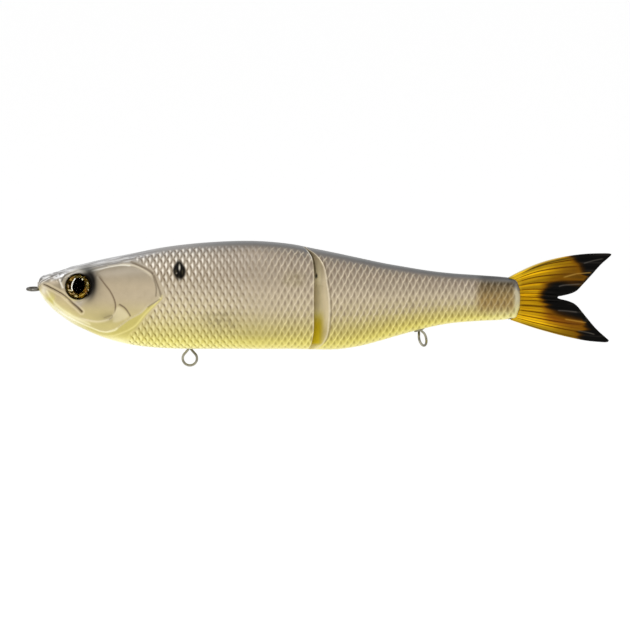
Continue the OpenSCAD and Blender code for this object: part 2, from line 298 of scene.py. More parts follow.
def notch_x(y):
    a = math.radians(45 + SWING + 2)
    y = np.abs(y)
    yt = POCKET_R * math.cos(a)
    face = PIN_X - POCKET_R * math.sin(a) + (y - yt) / math.tan(a)
    return np.where(y < yt, PIN_X - np.sqrt(np.clip(POCKET_R ** 2 - y ** 2, 0, None)), np.minimum(face, LIP_X))


def wedge_x(y):
    y = np.abs(y)
    c = NOSE_R * math.sqrt(0.5)
    return np.where(y < c, PIN_X - np.sqrt(np.clip(NOSE_R ** 2 - y ** 2, 0, None)), PIN_X - c + (y - c))


def meet(skin, plan, lo, hi):
    """Where each row of the skin runs into the joint's plan."""
    x = np.linspace(lo, hi, 400)
    y, _, _ = skin.at(np.tile(x, (skin.rows, 1)))
    gap = x[None, :] - plan(y)
    return np.array([np.interp(0, g, x) for g in gap])


def normals(P):
    a = np.gradient(P, axis=1)
    b = np.gradient(P, axis=0)
    n = np.cross(b, a)
    n /= np.maximum(np.linalg.norm(n, axis=-1, keepdims=True), 1e-12)
    return n


def bezier(a, l, b, steps):
    """Rounded corner a, l, b with each of shape (rows, 3)."""
    t = np.linspace(0, 1, steps)[None, :, None]
    return (1 - t) ** 2 * a[:, None] + 2 * t * (1 - t) * l[:, None] + t * t * b[:, None]


# ---------------------------------------------------------------- the eye's own frame (left side)
EYE_C = np.array([16.2, -7.3, 2.2])
EYE_R = 4.5
_m = Matrix.Rotation(math.radians(-11), 3, "Z") @ Matrix.Rotation(math.radians(79), 3, "X")
EYE_M = np.array(_m)
EU, EV, EN = EYE_M[:, 0], EYE_M[:, 1], EYE_M[:, 2]

# ---------------------------------------------------------------- drawn lines of the head, in picture places
MOUTH = curve([(44, 284.5), (47.5, 286.1), (53, 289), (60.8, 293.3), (66, 297), (71, 301.4), (77, 306.5), (81.9, 311.4)])
PREOP = curve([(97.6, 275), (104.7, 284), (110.8, 292), (115, 301.5), (115.4, 309.6), (112.3, 316.7), (106.7, 319.8), (98, 321.3), (88, 320), (77, 316.7)])
SUBOP = curve([(119.8, 304.4), (124, 307), (126.8, 310), (130.3, 315.6)])
OPERC_EDGE = [(108.6, 266.5), (118, 265.2), (128.2, 265.1), (138, 267.2), (149.3, 273.5), (152.8, 277.7), (154.9, 283.3), (157.5, 289.8),
              (160.5, 295.9), (156.3, 301.6), (147.9, 305.8), (140.8, 312.8), (128.2, 319.8), (117, 328.2), (108, 331.4)]
OPERC = curve(OPERC_EDGE)
PLATE = np.vstack([OPERC, curve([(100, 331), (90.3, 326.8), (80, 322.5), (70, 318), (60, 311), (54, 303), (56, 297)]), [(66, 299), (80, 303), (92, 290), (97, 272)]])
OUTER = curve([(125, 262), (133.8, 263), (149.3, 270.7), (153.5, 276.3), (157, 283.3), (161.9, 295.9)])
OUTER_LOW = curve([(161.9, 295.9), (157, 302), (145, 314.2), (133.8, 326.8), (117, 334.5), (104, 336), (90, 331)])
HEAD = np.vstack([[(0, 180), (132, 180), (133, 250)], curve([(133, 256), (136, 262), (149.3, 269.5), (155, 276), (159, 283.3), (163.5, 295.9), (156, 305), (146, 315.5), (136, 328), (129, 334), (127, 345)]),
                  [(127, 420), (0, 420)]])
CREASE = curve([(58.3, 275.5), (59.5, 279), (61, 283), (63, 287.5)])
JAW_LINE = curve([(47, 291), (51, 297.5), (57, 304), (66, 311), (77, 317.5), (90, 323.5)])


def palette(px, f):
    """The smooth paint under the pattern, with painted shade along the top rows: along the body in picture places, down
    it by f (0 back, 1 belly).
    """
    F = np.array([0.0, 0.05, 0.1, 0.18, 0.3, 0.45, 0.6, 0.75, 0.86, 0.93, 1.0])
    rows = {
        50: [(188, 186, 184), (190, 188, 184), (176, 171, 162), (156, 146, 130), (150, 137, 114), (160, 145, 114), (184, 167, 126), (198, 182, 128), (218, 207, 146), (238, 231, 182), (250, 246, 218)],
        110: [(163, 161, 160), (168, 163, 157), (170, 160, 144), (156, 142, 122), (162, 147, 122), (176, 160, 128), (186, 170, 126), (182, 167, 110), (198, 184, 112), (222, 210, 126), (248, 242, 188)],
        165: [(152, 149, 147), (166, 161, 155), (172, 163, 148), (168, 156, 137), (170, 156, 133), (188, 174, 147), (204, 189, 148), (202, 188, 130), (203, 190, 114), (220, 208, 118), (238, 230, 146)],
        260: [(108, 106, 104), (130, 122, 113), (150, 137, 122), (148, 135, 118), (160, 146, 127), (180, 165, 140), (188, 173, 141), (185, 170, 122), (182, 168, 104), (202, 189, 100), (230, 219, 130)],
        400: [(108, 106, 104), (114, 109, 105), (134, 123, 110), (143, 129, 111), (160, 146, 125), (184, 169, 140), (183, 168, 126), (183, 168, 100), (192, 177, 90), (208, 194, 94), (230, 220, 138)],
        470: [(108, 107, 106), (112, 108, 105), (126, 116, 105), (138, 124, 109), (158, 144, 124), (180, 165, 136), (184, 169, 124), (184, 168, 104), (188, 173, 98), (206, 192, 102), (230, 220, 140)],
        518: [(150, 148, 148), (156, 153, 150), (168, 164, 156), (184, 178, 160), (192, 186, 162), (196, 190, 160), (200, 194, 156), (208, 202, 152), (216, 210, 152), (226, 220, 160), (236, 230, 176)],
    }
    xs = np.array(sorted(rows))
    tab = np.array([rows[x] for x in xs], float) / 255
    px = np.clip(px, xs[0], xs[-1])
    i = np.clip(np.searchsorted(xs, px, side="right") - 1, 0, len(xs) - 2)
    t = (px - xs[i]) / (xs[i + 1] - xs[i])
    t = t * t * (3 - 2 * t)
    f = np.clip(f, 0, 1)
    j = np.clip(np.searchsorted(F, f, side="right") - 1, 0, len(F) - 2)
    u = (f - F[j]) / (F[j + 1] - F[j])
    a = mix(tab[i, j], tab[i, j + 1], u)
    b = mix(tab[i + 1, j], tab[i + 1, j + 1], u)
    c = mix(a, b, t)
    # painted shade: the top rows are made darker, to offset the stronger light that falls on the back
    return c * (1 - 0.14 * (1 - smooth(0.02, 0.2, f)))[..., None]


PITCH, TALL = 2.28, 4.5


def scales(x, s, front, crossed):
    """Scale pattern. Gives the raised height (0 to 1) and three masks of the scales' print with painted light: light
    tops (painted highlight), dark strokes (painted shade), pale net (partly a painted highlight on its ridges).
    """
    a = x / PITCH + s / TALL
    b = x / PITCH - s / TALL
    a = a + 0.05 * (noise2(x / 4, s / 4, 11) - 0.5) + 0.09 * (noise2(x / 1.9, s / 2.6, 15) - 0.5)
    b = b + 0.05 * (noise2(x / 4, s / 4, 12) - 0.5) + 0.09 * (noise2(x / 1.9, s / 2.6, 16) - 0.5)
    bow = 0.14 + 0.07 * front
    aw = a - bow * np.sin(np.pi * (b % 1))
    bw = b - bow * np.sin(np.pi * (a % 1))
    fa, fb = aw % 1, bw % 1
    va = np.minimum(fa, 1 - fa)
    vb = np.minimum(fb, 1 - fb)
    cell = noise2(np.floor(aw) * 7.3 + 0.5, np.floor(bw) * 5.1 + 0.5, 13)
    # front: convex scales, overlapping towards the tail, with a cut along their leading edges
    dome = (1 - np.abs(2 * fa - 1) ** 3) * (1 - np.abs(2 * fb - 1) ** 3)
    lean = 1 - 0.55 * (fa * 0.65 + fb * 0.35)
    high_front = np.clip(dome * 1.15, 0, 1) * lean
    # the light tops stand partly for a painted highlight on the domes, the strokes and cross strokes partly for painted
    # shade in the cuts
    light_front = np.exp(-(np.abs(fa - 0.36) / 0.23) ** 2.4) * np.exp(-(np.abs(fb - 0.46) / 0.31) ** 2.4)
    stroke = np.exp(-((np.where(fa > 0.6, fa - 1, fa) + 0.02) / 0.125) ** 2) * (0.35 + 0.65 * np.exp(-((fb - 0.42) / 0.27) ** 2))
    cross = np.exp(-((np.where(fb > 0.6, fb - 1, fb) + 0.02) / 0.11) ** 2) * (0.35 + 0.65 * np.exp(-((fa - 0.45) / 0.30) ** 2))
    dark_front = np.maximum(stroke * mix(0.85, 1.0, crossed), mix(0.10, 0.62, crossed) * (0.6 + 0.7 * smooth(0.3, 0.7, noise2(x / 3, s / 3, 14))) * cross)
    light_front = light_front * mix(0.50, 1.0, crossed)
    # rear: sunk cells in a pale raised net, the lines that rise towards the tail being the stronger; the pale net is
    # partly a painted highlight on its ridges, and the darker cells partly painted shade
    net_b = np.exp(-(vb / 0.105) ** 2)
    net_a = np.exp(-(va / 0.085) ** 2) * 0.6
    net = np.maximum(net_b, net_a)
    pit = np.exp(-((fa - 0.62) / 0.3) ** 2) * np.exp(-((fb - 0.36) / 0.26) ** 2)
    high = mix(0.15 + 0.85 * net * (1 - 0.3 * pit), high_front, front)
    return high, light_front * front, dark_front * front, net * (1 - front), pit * (1 - front), cell


def silhouette(skins):
    px = np.concatenate([a.ravel() for a, _ in skins])
    py = np.concatenate([b.ravel() for _, b in skins])
    k = np.round(px).astype(int)
    top, bot = {}, {}
    xs = np.arange(k.min(), k.max() + 1)
    lo = np.full(len(xs), 1e9)
    hi = np.full(len(xs), -1e9)
    np.minimum.at(lo, k - xs[0], py)
    np.maximum.at(hi, k - xs[0], py)
    ok = lo < 1e8
    return xs[ok], lo[ok], hi[ok]


# ---------------------------------------------------------------- grids of both sections
F_ROWS, R_ROWS = 184, 156
skin_f, skin_r = Skin(F_ROWS), Skin(R_ROWS)

lip = meet(skin_f, notch_x, 90, 99)
ly, lz, _ = skin_f.at(lip[:, None])
at_lip = project(np.stack([lip, ly[:, 0], lz[:, 0]], -1))[1]
# the lip turns down sharply under the back, so it stands a little further aft there than the plain cup does
LIP_OUT = np.interp(at_lip, [247, 250, 253, 256.5, 262, 268, 275, 284, 295], [0, 0.11, 0.3, 0.57, 0.51, 0.36, 0.18, 0.06, 0])
lip = lip + LIP_OUT
head_x = np.concatenate([1.8 + 3.2 * np.linspace(0, 1, 30) ** 1.35, np.linspace(5.15, 56, 262)])
run = np.linspace(0, 1, 170)[1:]
fx = np.concatenate([np.tile(head_x, (F_ROWS, 1)), 56 + (lip[:, None] - 0.45 - 56) * run[None, :]], 1)

edge = meet(skin_r, wedge_x, 93, 108)
ey, ez, _ = skin_r.at(edge[:, None])
at_edge = project(np.stack([edge, ey[:, 0], ez[:, 0]], -1))[1]
# the rim of the wedge stands a little further forward where the swing leaves room for it
RIM_OUT = np.interp(at_edge, [248, 262, 264.4, 267.5, 270.6, 273.6, 276.6, 279.6, 282.5, 288, 292.4, 300, 310, 320, 327, 334],
                    [0, 0.04, 0.12, 0.24, 0.36, 0.5, 0.6, 0.7, 0.76, 0.7, 0.62, 0.42, 0.28, 0.3, 0.26, 0])
edge = edge - RIM_OUT
tail_x = np.concatenate([np.linspace(118, 163, 172), np.linspace(163.3, 165.9, 10)])
end_x = np.concatenate([[165.9], 165.9 + 3.9 * np.sin(np.linspace(0, np.pi / 2, 22))[1:]])
run = np.linspace(0, 1, 84)[:-1]
rx = np.concatenate([edge[:, None] + 0.45 + (118 - edge[:, None] - 0.45) * run[None, :], np.tile(tail_x, (R_ROWS, 1)), np.tile(end_x, (R_ROWS, 1))], 1)

fy, fz, fs = skin_f.at(fx)
ry, rz, rs = skin_r.at(rx)
Pf = np.stack([fx, fy, fz], -1)
Pr = np.stack([rx, ry, rz], -1)
sil = silhouette([project(Pf), project(Pr)])


def picture(P):
    px, py = project(P)
    top = np.interp(px, sil[0], sil[1])
    bot = np.interp(px, sil[0], sil[2])
    f = (py - top) / np.maximum(bot - top, 1)
    return px, py, np.maximum.accumulate(f, axis=0), py - top


def blob(px, py, cx, cy, rx_, ry_, power=2):
    return np.exp(-(((px - cx) / rx_) ** 2 + ((py - cy) / ry_) ** 2) ** (power / 2))


def dress(P, s, section):
    """Height field and paint of the skin. Gives the moved points, the colours and the masks."""
    px, py, f, drop = picture(P)
    n = normals(P)
    n[0, :, 1] = n[-1, :, 1] = 0
    n /= np.linalg.norm(n, axis=-1, keepdims=True)
    if n[len(n) // 2, n.shape[1] // 2, 1] > 0:
        n = -n
    front_zone = 1 - smooth(225, 292, px)
    crossed = (1 - smooth(190, 228, px)) * (1 - smooth(0.26, 0.44, f)) + 0.5 * smooth(0.80, 0.92, f) * (1 - smooth(200, 250, px))
    high, light, dark, net, pit, cell = scales(P[..., 0], s, front_zone, crossed)
    x = P[..., 0]
    h = np.zeros(px.shape)
    col = palette(px, f)
    grain = fbm(x * 0.55, s * 0.55, 21)
    col = col * (0.965 + 0.07 * grain)[..., None]

    # where the scales are: behind the gill cover, below the smooth back, up to the tail's collar
    head = signed(px, py, HEAD) if section == "front" else np.full(px.shape, -99.0)
    band = smooth(3.0, 6.4, drop) if section == "front" else smooth(3.6, 7.0, drop)
    back_edge = np.where(px < 200, smooth(2.5, 5.5, drop), band) if section == "front" else band
    scaly = smooth(0.5, 3.0, -head) * back_edge
    if section == "rear":
        scaly = scaly * (1 - 0.8 * smooth(512.5, 518.0, px))
    belly = smooth(0.965, 1.0, f)
    scaly_h = scaly * (1 - 0.6 * belly)
    amp = mix(0.20, 0.27, front_zone)
    h += scaly_h * amp * (high - 0.45)

    col = mix(col, rgb(96, 98, 99), 0.6 * (1 - smooth(1.2, 4.2, drop)) * smooth(185, 235, px))
    upper_flank = smooth(4.5, 7.5, drop) * (1 - smooth(11, 16, drop))
    col = col * (1 + (0.07 * blob(px, 0, 251, 0, 17, 9) - 0.06 * smooth(284, 300, px) * (1 - smooth(330, 345, px))) * upper_flank)[..., None]
    # paint of the scales: their print, with painted highlight on the light tops and the net, and painted shade in the
    # dark strokes and the sunk cells
    low = smooth(0.62, 0.9, f)
    light_c = mix(rgb(250, 243, 230), rgb(255, 250, 170), low)
    dark_c = mix(rgb(92, 74, 54), rgb(112, 96, 16), low)
    col = mix(col, light_c, scaly * light * 0.86)
    col = mix(col, dark_c, scaly * dark * 0.97)
    net_c = mix(rgb(226, 211, 182), rgb(246, 233, 140), low)
    pit_c = mix(rgb(114, 98, 80), rgb(128, 110, 30), low)
    col = mix(col, net_c, scaly * net * (0.42 + 0.42 * noise2(x / 2.4, s / 3.2, 17)) * (1 - belly))
    col = mix(col, pit_c, scaly * pit * (0.55 + 0.25 * cell) * (1 - 0.6 * belly))
    # yellow belly glow
    col = mix(col, rgb(250, 240, 120), 0.18 * smooth(0.86, 0.95, f) * (1 - smooth(0.97, 1.0, f)) * smooth(120, 150, px))
    # pale along the lowest edge of the belly: pale belly paint, with a painted reflection of the bright surroundings
    col = mix(col, rgb(248, 244, 214), 0.55 * smooth(0.985, 1.02, f))

    metal = 0.10 + 0.10 * (1 - smooth(0.0, 0.12, f))
    rough = np.full(px.shape, 0.40)
    rough += 0.06 * (grain - 0.5)

    if section == "front":
        # ------- gill cover, cheek and jaw plates
        op_in = signed(px, py, PLATE)
        in_head = smooth(-1.0, 1.0, head)
        h += 0.34 * smooth(-0.7, 1.6, op_in)
        d_out, t_out = line_distance(px, py, OUTER)
        d_low, t_low = line_distance(px, py, OUTER_LOW)
        crescent = smooth(-0.5, 0.8, head) * smooth(0.0, 1.4, -op_in) * smooth(296, 300, py)
        col = mix(col, rgb(190, 177, 92), 0.8 * crescent * (1 - smooth(332, 340, py)))
        plate = smooth(-0.6, 0.8, op_in)
        warm = mix(mix(rgb(138, 127, 108), rgb(180, 164, 136), smooth(268, 288, py)), rgb(192, 177, 118), smooth(296, 322, py))
        gill = plate * smooth(97, 112, px)
        col = mix(col, warm * (0.985 + 0.03 * grain[..., None]), 0.72 * gill)
        cheek = plate * (1 - smooth(100, 114, px)) * smooth(70, 84, px)
        col = mix(col, mix(mix(rgb(146, 134, 114), rgb(176, 160, 132), smooth(270, 288, py)), rgb(188, 173, 118), smooth(296, 318, py)), 0.72 * cheek)
        # raised curved ridge behind the cover, with its dark line
        h += 0.10 * np.exp(-((d_out - 2.2) / 1.2) ** 2) * in_head
        d, t = line_distance(px, py, OPERC)
        top_edge = (1 - smooth(0.30, 0.42, t))
        h -= 0.12 * np.exp(-(d / 0.8) ** 2)
        col = mix(col, rgb(236, 224, 196), 0.6 * np.exp(-((d - 0.3) / 0.9) ** 2) * mix(0.55, 0.9, top_edge))
        col = mix(col, rgb(132, 116, 92), 0.55 * np.exp(-((d_out) / 0.75) ** 2) * smooth(0.1, 0.25, t_out))
        h -= 0.16 * np.exp(-(d_out / 0.9) ** 2) * smooth(0.05, 0.2, t_out)
        col = mix(col, rgb(238, 226, 152), 0.5 * np.exp(-(d_low / 1.0) ** 2))
        h += 0.10 * np.exp(-(d_low / 1.3) ** 2)
        # preopercle: a cut with painted shade in it above, then a painted highlight on the step
        d, t = line_distance(px, py, PREOP)
        upper = 1 - smooth(0.42, 0.56, t)
        h -= 0.22 * np.exp(-(d / 0.95) ** 2)
        col = mix(col, rgb(92, 74, 52), 0.82 * np.exp(-(d / 0.68) ** 2) * upper * smooth(0.0, 0.06, t))
        col = mix(col, rgb(236, 222, 186), 0.7 * np.exp(-((d - 0.2) / 1.0) ** 2) * (1 - upper) * (1 - smooth(0.9, 1.0, t)))
        col = mix(col, rgb(120, 104, 74), 0.45 * np.exp(-(line_distance(px, py, curve([(104.5, 317.4), (108.5, 315.9), (111.6, 315.0), (112.4, 317.0), (109.5, 319.0)]))[0] / 0.6) ** 2))
        col = mix(col, rgb(150, 136, 96), 0.30 * blob(px, py, 109, 316, 4.5, 3.5))
        upper_white = line_distance(px, py, curve([(92, 270.8), (101, 268.8), (111, 267.0), (121, 265.4), (130, 266.0)]))[0]
        col = mix(col, rgb(244, 240, 228), 0.75 * np.exp(-(upper_white / 0.8) ** 2))
        for dark_line, wide_, much in (([(131, 261.8), (140, 265.8), (147, 269.4), (152.4, 273.4)], 0.95, 0.8), ([(152.4, 273.4), (154.2, 279.5), (156.4, 288.3), (156.0, 296)], 0.8, 0.6),
                                       ([(154.4, 275.5), (157.8, 286), (161.0, 297)], 0.7, 0.55), ([(159.4, 299.2), (153, 303.6), (148, 307)], 0.7, 0.5)):
            dd = line_distance(px, py, curve(dark_line))[0]
            col = mix(col, rgb(104, 90, 70), much * np.exp(-(dd / wide_) ** 2))
            h -= 0.10 * np.exp(-(dd / 0.8) ** 2)
        # subopercle
        d, t = line_distance(px, py, SUBOP)
        h -= 0.24 * np.exp(-(d / 0.9) ** 2)
        col = mix(col, rgb(88, 70, 48), 0.8 * np.exp(-(d / 0.68) ** 2))
        sub = signed(px, py, curve([(118, 306), (126, 310.5), (129.5, 316), (122, 321), (113, 322), (114, 313)], 8, True))
        col = mix(col, rgb(226, 214, 180), 0.5 * smooth(-1, 2, sub))
        col = col * (1 - 0.10 * blob(px, py, 60, 281.5, 9, 6))[..., None]
        # lower cream line under the plates
        d, t = line_distance(px, py, curve([(117, 328.2), (114.2, 330.3), (104.4, 331.7), (90.3, 326.8), (80, 322), (70, 316.5)]))
        col = mix(col, rgb(246, 238, 190), 0.75 * np.exp(-(d / 1.0) ** 2))
        h += 0.10 * np.exp(-(d / 1.2) ** 2)
        # chin: olive hollow between two pale folds
        d, t = line_distance(px, py, JAW_LINE)
        col = mix(col, rgb(250, 244, 196), 0.55 * np.exp(-((d) / 1.1) ** 2))
        col = mix(col, rgb(196, 186, 96), 0.42 * blob(px, py, 52, 297, 3.0, 6.0))
        col = mix(col, rgb(200, 188, 110), 0.42 * blob(px, py, 100, 325, 14, 3.2))
        h += 0.12 * np.exp(-(d / 1.3) ** 2)
        # mouth
        d, t = line_distance(px, py, MOUTH)
        wide = mix(0.55, 1.15, smooth(0.45, 1.0, t))
        h -= 0.34 * np.exp(-(d / (wide * 1.35)) ** 2) * smooth(0.0, 0.1, t)
        col = mix(col, rgb(70, 52, 28), 0.9 * np.exp(-(d / wide) ** 2))
        col = mix(col, rgb(232, 216, 180), 0.45 * np.exp(-((d - 2.3) / 1.0) ** 2) * (py > 0))
        # maxillary flap behind the mouth's corner
        col = mix(col, rgb(158, 150, 156), 0.6 * blob(px, py, 79, 301.5, 4.2, 5.0))
        col = col * (1 - 0.09 * blob(px, py, 108, 317, 10, 5))[..., None]
        col = col * (1 - 0.13 * blob(px, py, 60, 277.5, 7, 3.5))[..., None]
        # pale lower lip and chin, with a painted highlight on the front of the chin
        col = mix(col, rgb(252, 249, 232), 0.62 * smooth(0.80, 0.93, f) * (1 - smooth(62, 96, px)))
        # painted highlight: a near-white spot on the chin's front
        col = mix(col, rgb(250, 248, 240), 0.5 * blob(px, py, 43.5, 291, 3.2, 5.0))
        # snout: crease, brow and nostril
        d, t = line_distance(px, py, CREASE)
        h += 0.22 * np.exp(-((d) / 1.3) ** 2)
        col = mix(col, rgb(246, 242, 236), 0.85 * np.exp(-(d / 0.95) ** 2))
        h -= 0.22 * np.exp(-((d - 2.4) / 1.1) ** 2) * (px < 60)
        col = mix(col, rgb(120, 100, 74), 0.55 * blob(px, py, 53.5, 277.5, 2.6, 1.5))
        h -= 0.35 * blob(px, py, 53.0, 277.6, 1.9, 1.3)
        # painted highlight: a pale chrome-like streak along the top of the snout
        col = mix(col, rgb(236, 232, 224), 0.6 * blob(px, py, 48, 277.6, 5, 1.5))
        col = mix(col, rgb(226, 208, 178), 0.5 * blob(px, py, 54, 282, 5, 3))
        # brow: the bright line is a painted highlight on its ridge, and the dark line under it is painted shade
        brow = np.exp(-(line_distance(px, py, curve([(60.5, 277), (64, 273.6), (70, 271), (76, 270.6), (83, 272)]))[0] / 1.25) ** 2)
        h += 0.30 * brow
        col = mix(col, rgb(236, 237, 240), 0.85 * brow)
        col = mix(col, rgb(66, 62, 56), 0.75 * np.exp(-(line_distance(px, py, curve([(61.6, 281.5), (63.2, 277.8), (66.5, 274.6), (71, 272.9)]))[0] / 0.7) ** 2))
        col = mix(col, rgb(92, 88, 80), 0.5 * np.exp(-(line_distance(px, py, curve([(55, 272.6), (60, 271.5), (66, 269), (73, 267.6)]))[0] / 0.9) ** 2))
        # silvery crown with fine lengthwise streaks: painted reflections, bright and dark
        crown = (1 - smooth(4.0, 10.0, drop)) * (1 - smooth(120, 175, px))
        from_top = s.max(axis=0, keepdims=True) - s
        streak = noise2(px * 0.07 + 3, from_top * 2.6, 31)
        col = mix(col, rgb(232, 233, 236), 0.75 * crown * smooth(0.5, 0.75, streak))
        col = mix(col, rgb(98, 98, 102), 0.62 * crown * (1 - smooth(0.25, 0.5, streak)))
        # painted glints and dark reflections on the top of the snout
        nose = (1 - smooth(60, 78, px)) * smooth(40, 44, px) * smooth(266, 270, py) * (1 - smooth(277, 283, py))
        glint = noise2(px * 0.35, py * 0.8 + 2, 33)
        col = mix(col, rgb(246, 246, 246), 0.7 * nose * smooth(0.58, 0.78, glint))
        col = mix(col, rgb(112, 106, 100), 0.5 * nose * (1 - smooth(0.22, 0.42, glint)))
        d = line_distance(px, py, curve([(75, 268.6), (90, 266.5), (105, 262.6), (128, 257.8)]))[0]
        col = mix(col, rgb(236, 234, 230), 0.55 * np.exp(-(d / 1.0) ** 2))
        metal = metal + 0.30 * crown
        rough = rough - 0.12 * crown
        # black brushed patch behind the eye
        patch = blob(px, py, 88.3, 284.0, 6.9, 12.6, 3.0)
        halo = blob(px, py, 89.5, 282.5, 10.5, 16.5, 2.4)
        col = mix(col, rgb(66, 60, 48), 0.55 * halo)
        col = mix(col, rgb(6, 4, 2), np.clip(1.7 * patch, 0, 0.99))
        col = mix(col, rgb(84, 86, 84), 0.6 * blob(px, py, 85, 270.3, 8, 3.0))
        # the ring of dark paint round the eye
        q = P - EYE_C
        er = np.hypot(q @ EU, q @ EV)
        near_eye = (px < 110) & (er < 9)
        ring = np.where(near_eye, 1 - smooth(4.52, 4.78, er), 0)
        col = mix(col, rgb(34, 24, 10), 0.92 * ring)
        under = np.where(near_eye, np.exp(-((er - 5.5) / 0.6) ** 2), 0) * (1 - patch)
        col = mix(col, rgb(196, 184, 156), 0.35 * under)
        # shoulder spot
        spot = blob(px, py, 179.3 + 0.05 * (py - 270), 270.2, mix(4.6, 6.0, smooth(262, 270, py)), 9.1, 6.0)
        # the scales' painted highlight shows faintly on the spot
        tone = mix(rgb(8, 6, 4), rgb(64, 58, 38), 0.7 * np.clip(light, 0, 1))
        tone = mix(tone, rgb(190, 186, 172), blob(px, py, 179.5, 267.8, 1.0, 3.1, 3))
        tone = mix(tone, rgb(150, 140, 130), blob(px, py, 176.6, 273.3, 0.7, 0.7))
        col = mix(col, tone, 0.98 * np.clip(spot * 1.3, 0, 1))
        # dark flecks of the ballast and wires showing through the shell
        flecks = smooth(0.52, 0.72, noise2(x * 1.25, s * 0.9, 51))
        inner = blob(px, py, 294, 279, 13, 8, 4) + blob(px, py, 222, 321, 22, 9, 4)
        col = mix(col, rgb(104, 92, 64), 0.34 * flecks * np.clip(inner, 0, 1) * (1 - 0.4 * light))
        col = mix(col, rgb(150, 136, 88), 0.16 * np.clip(inner, 0, 1))
        # paler rim where the skin turns into the joint: a painted highlight along the edge
        lipm = smooth(312.4, 313.6, px)
        col = mix(col, rgb(224, 212, 184), 0.4 * lipm)
    else:
        flecks = smooth(0.52, 0.72, noise2(x * 1.25, s * 0.9, 52))
        inner = blob(px, py, 407, 303, 9, 10, 4)
        col = mix(col, rgb(110, 96, 66), 0.30 * flecks * inner)
        # brown-gold saddle before the tail
        saddle = smooth(472, 484, px) * (1 - smooth(512.0, 517.0, px)) * smooth(280, 284.5, py) * (1 - smooth(304, 318, py))
        brown = mix(rgb(92, 74, 44), rgb(140, 110, 52), smooth(284, 300, py))
        col = mix(col, brown * (1 - 0.25 * pit)[..., None], 0.85 * saddle * (1 - 0.42 * net))
        col = col * mix(1.0, mix(0.72, 1.0, smooth(5, 10, drop)), smooth(474, 486, px))[..., None]
        collar = smooth(512.5, 517.5, px)
        col = mix(col, mix(rgb(192, 181, 146), rgb(222, 214, 150), smooth(0.6, 0.9, f)), 0.6 * collar * smooth(0.16, 0.34, f))
        col = mix(col, rgb(128, 128, 132), 0.6 * collar * (1 - smooth(0.14, 0.3, f)))
        h += 0.22 * np.exp(-((px - 514.5) / 2.2) ** 2)
        col = mix(col, rgb(150, 132, 96), 0.3 * smooth(518.0, 519.3, px))
        # painted shadow: a thin dark line on the skin just behind the wedge's rim
        lipm = np.exp(-((x - edge[:, None] - 0.72) / 0.24) ** 2)
        col = mix(col, rgb(112, 98, 74), 0.6 * lipm * smooth(0.04, 0.1, f) * (1 - smooth(0.9, 0.97, f)))

    # smooth grey back
    backband = 1 - band
    metal = np.clip(metal, 0, 1)
    rough = np.clip(rough - 0.05 * backband, 0.16, 0.6)

    # keep the edges of the skin where the frame has them
    if section == "front":
        fade = smooth(0, 1.2, lip[:, None] - 0.45 - x) * smooth(1.8, 3.4, x)
    else:
        fade = smooth(0, 1.2, x - edge[:, None] - 0.45) * smooth(0, 1.4, 169.8 - x)
    moved = P + n * (h * fade)[..., None]
    moved[0, :, 1] = moved[-1, :, 1] = 0

    if section == "front":
        # the round recess that the eye sits in, and its rim
        q = moved - EYE_C
        u, v, w = q @ EU, q @ EV, q @ EN
        r = np.hypot(u, v)
        near = (r < 9) & (w > -6) & (moved[..., 0] < 30)
        floor = np.where(r < 4.5, -0.95, w)
        rim = np.where(r < 5.15, -0.02, -0.02 - (r - 5.15) * 2.2)
        lift = np.where(r >= 4.5, 0.5 * (w + rim + np.sqrt((w - rim) ** 2 + 0.04)), floor)
        lift = np.where(r < 4.5, -0.95, np.where(r < 5.15, np.minimum(lift, 0.12), lift))
        out = mix(lift, w, smooth(5.6, 6.8, r))
        r2 = np.where((r < 4.5) & (r > 4.28), 4.44, np.where((r >= 4.5) & (r < 4.68), 4.55, r))
        k = np.where(r > 1e-6, r2 / np.maximum(r, 1e-6), 1)
        new = EYE_C + (u * k)[..., None] * EU + (v * k)[..., None] * EV + out[..., None] * EN
        moved = np.where(near[..., None], new, moved)
        sock = near & (r < 4.5)
        col[sock] = rgb(20, 15, 8)
    return moved, np.clip(col, 0.01, 1), np.clip(metal, 0, 1), rough


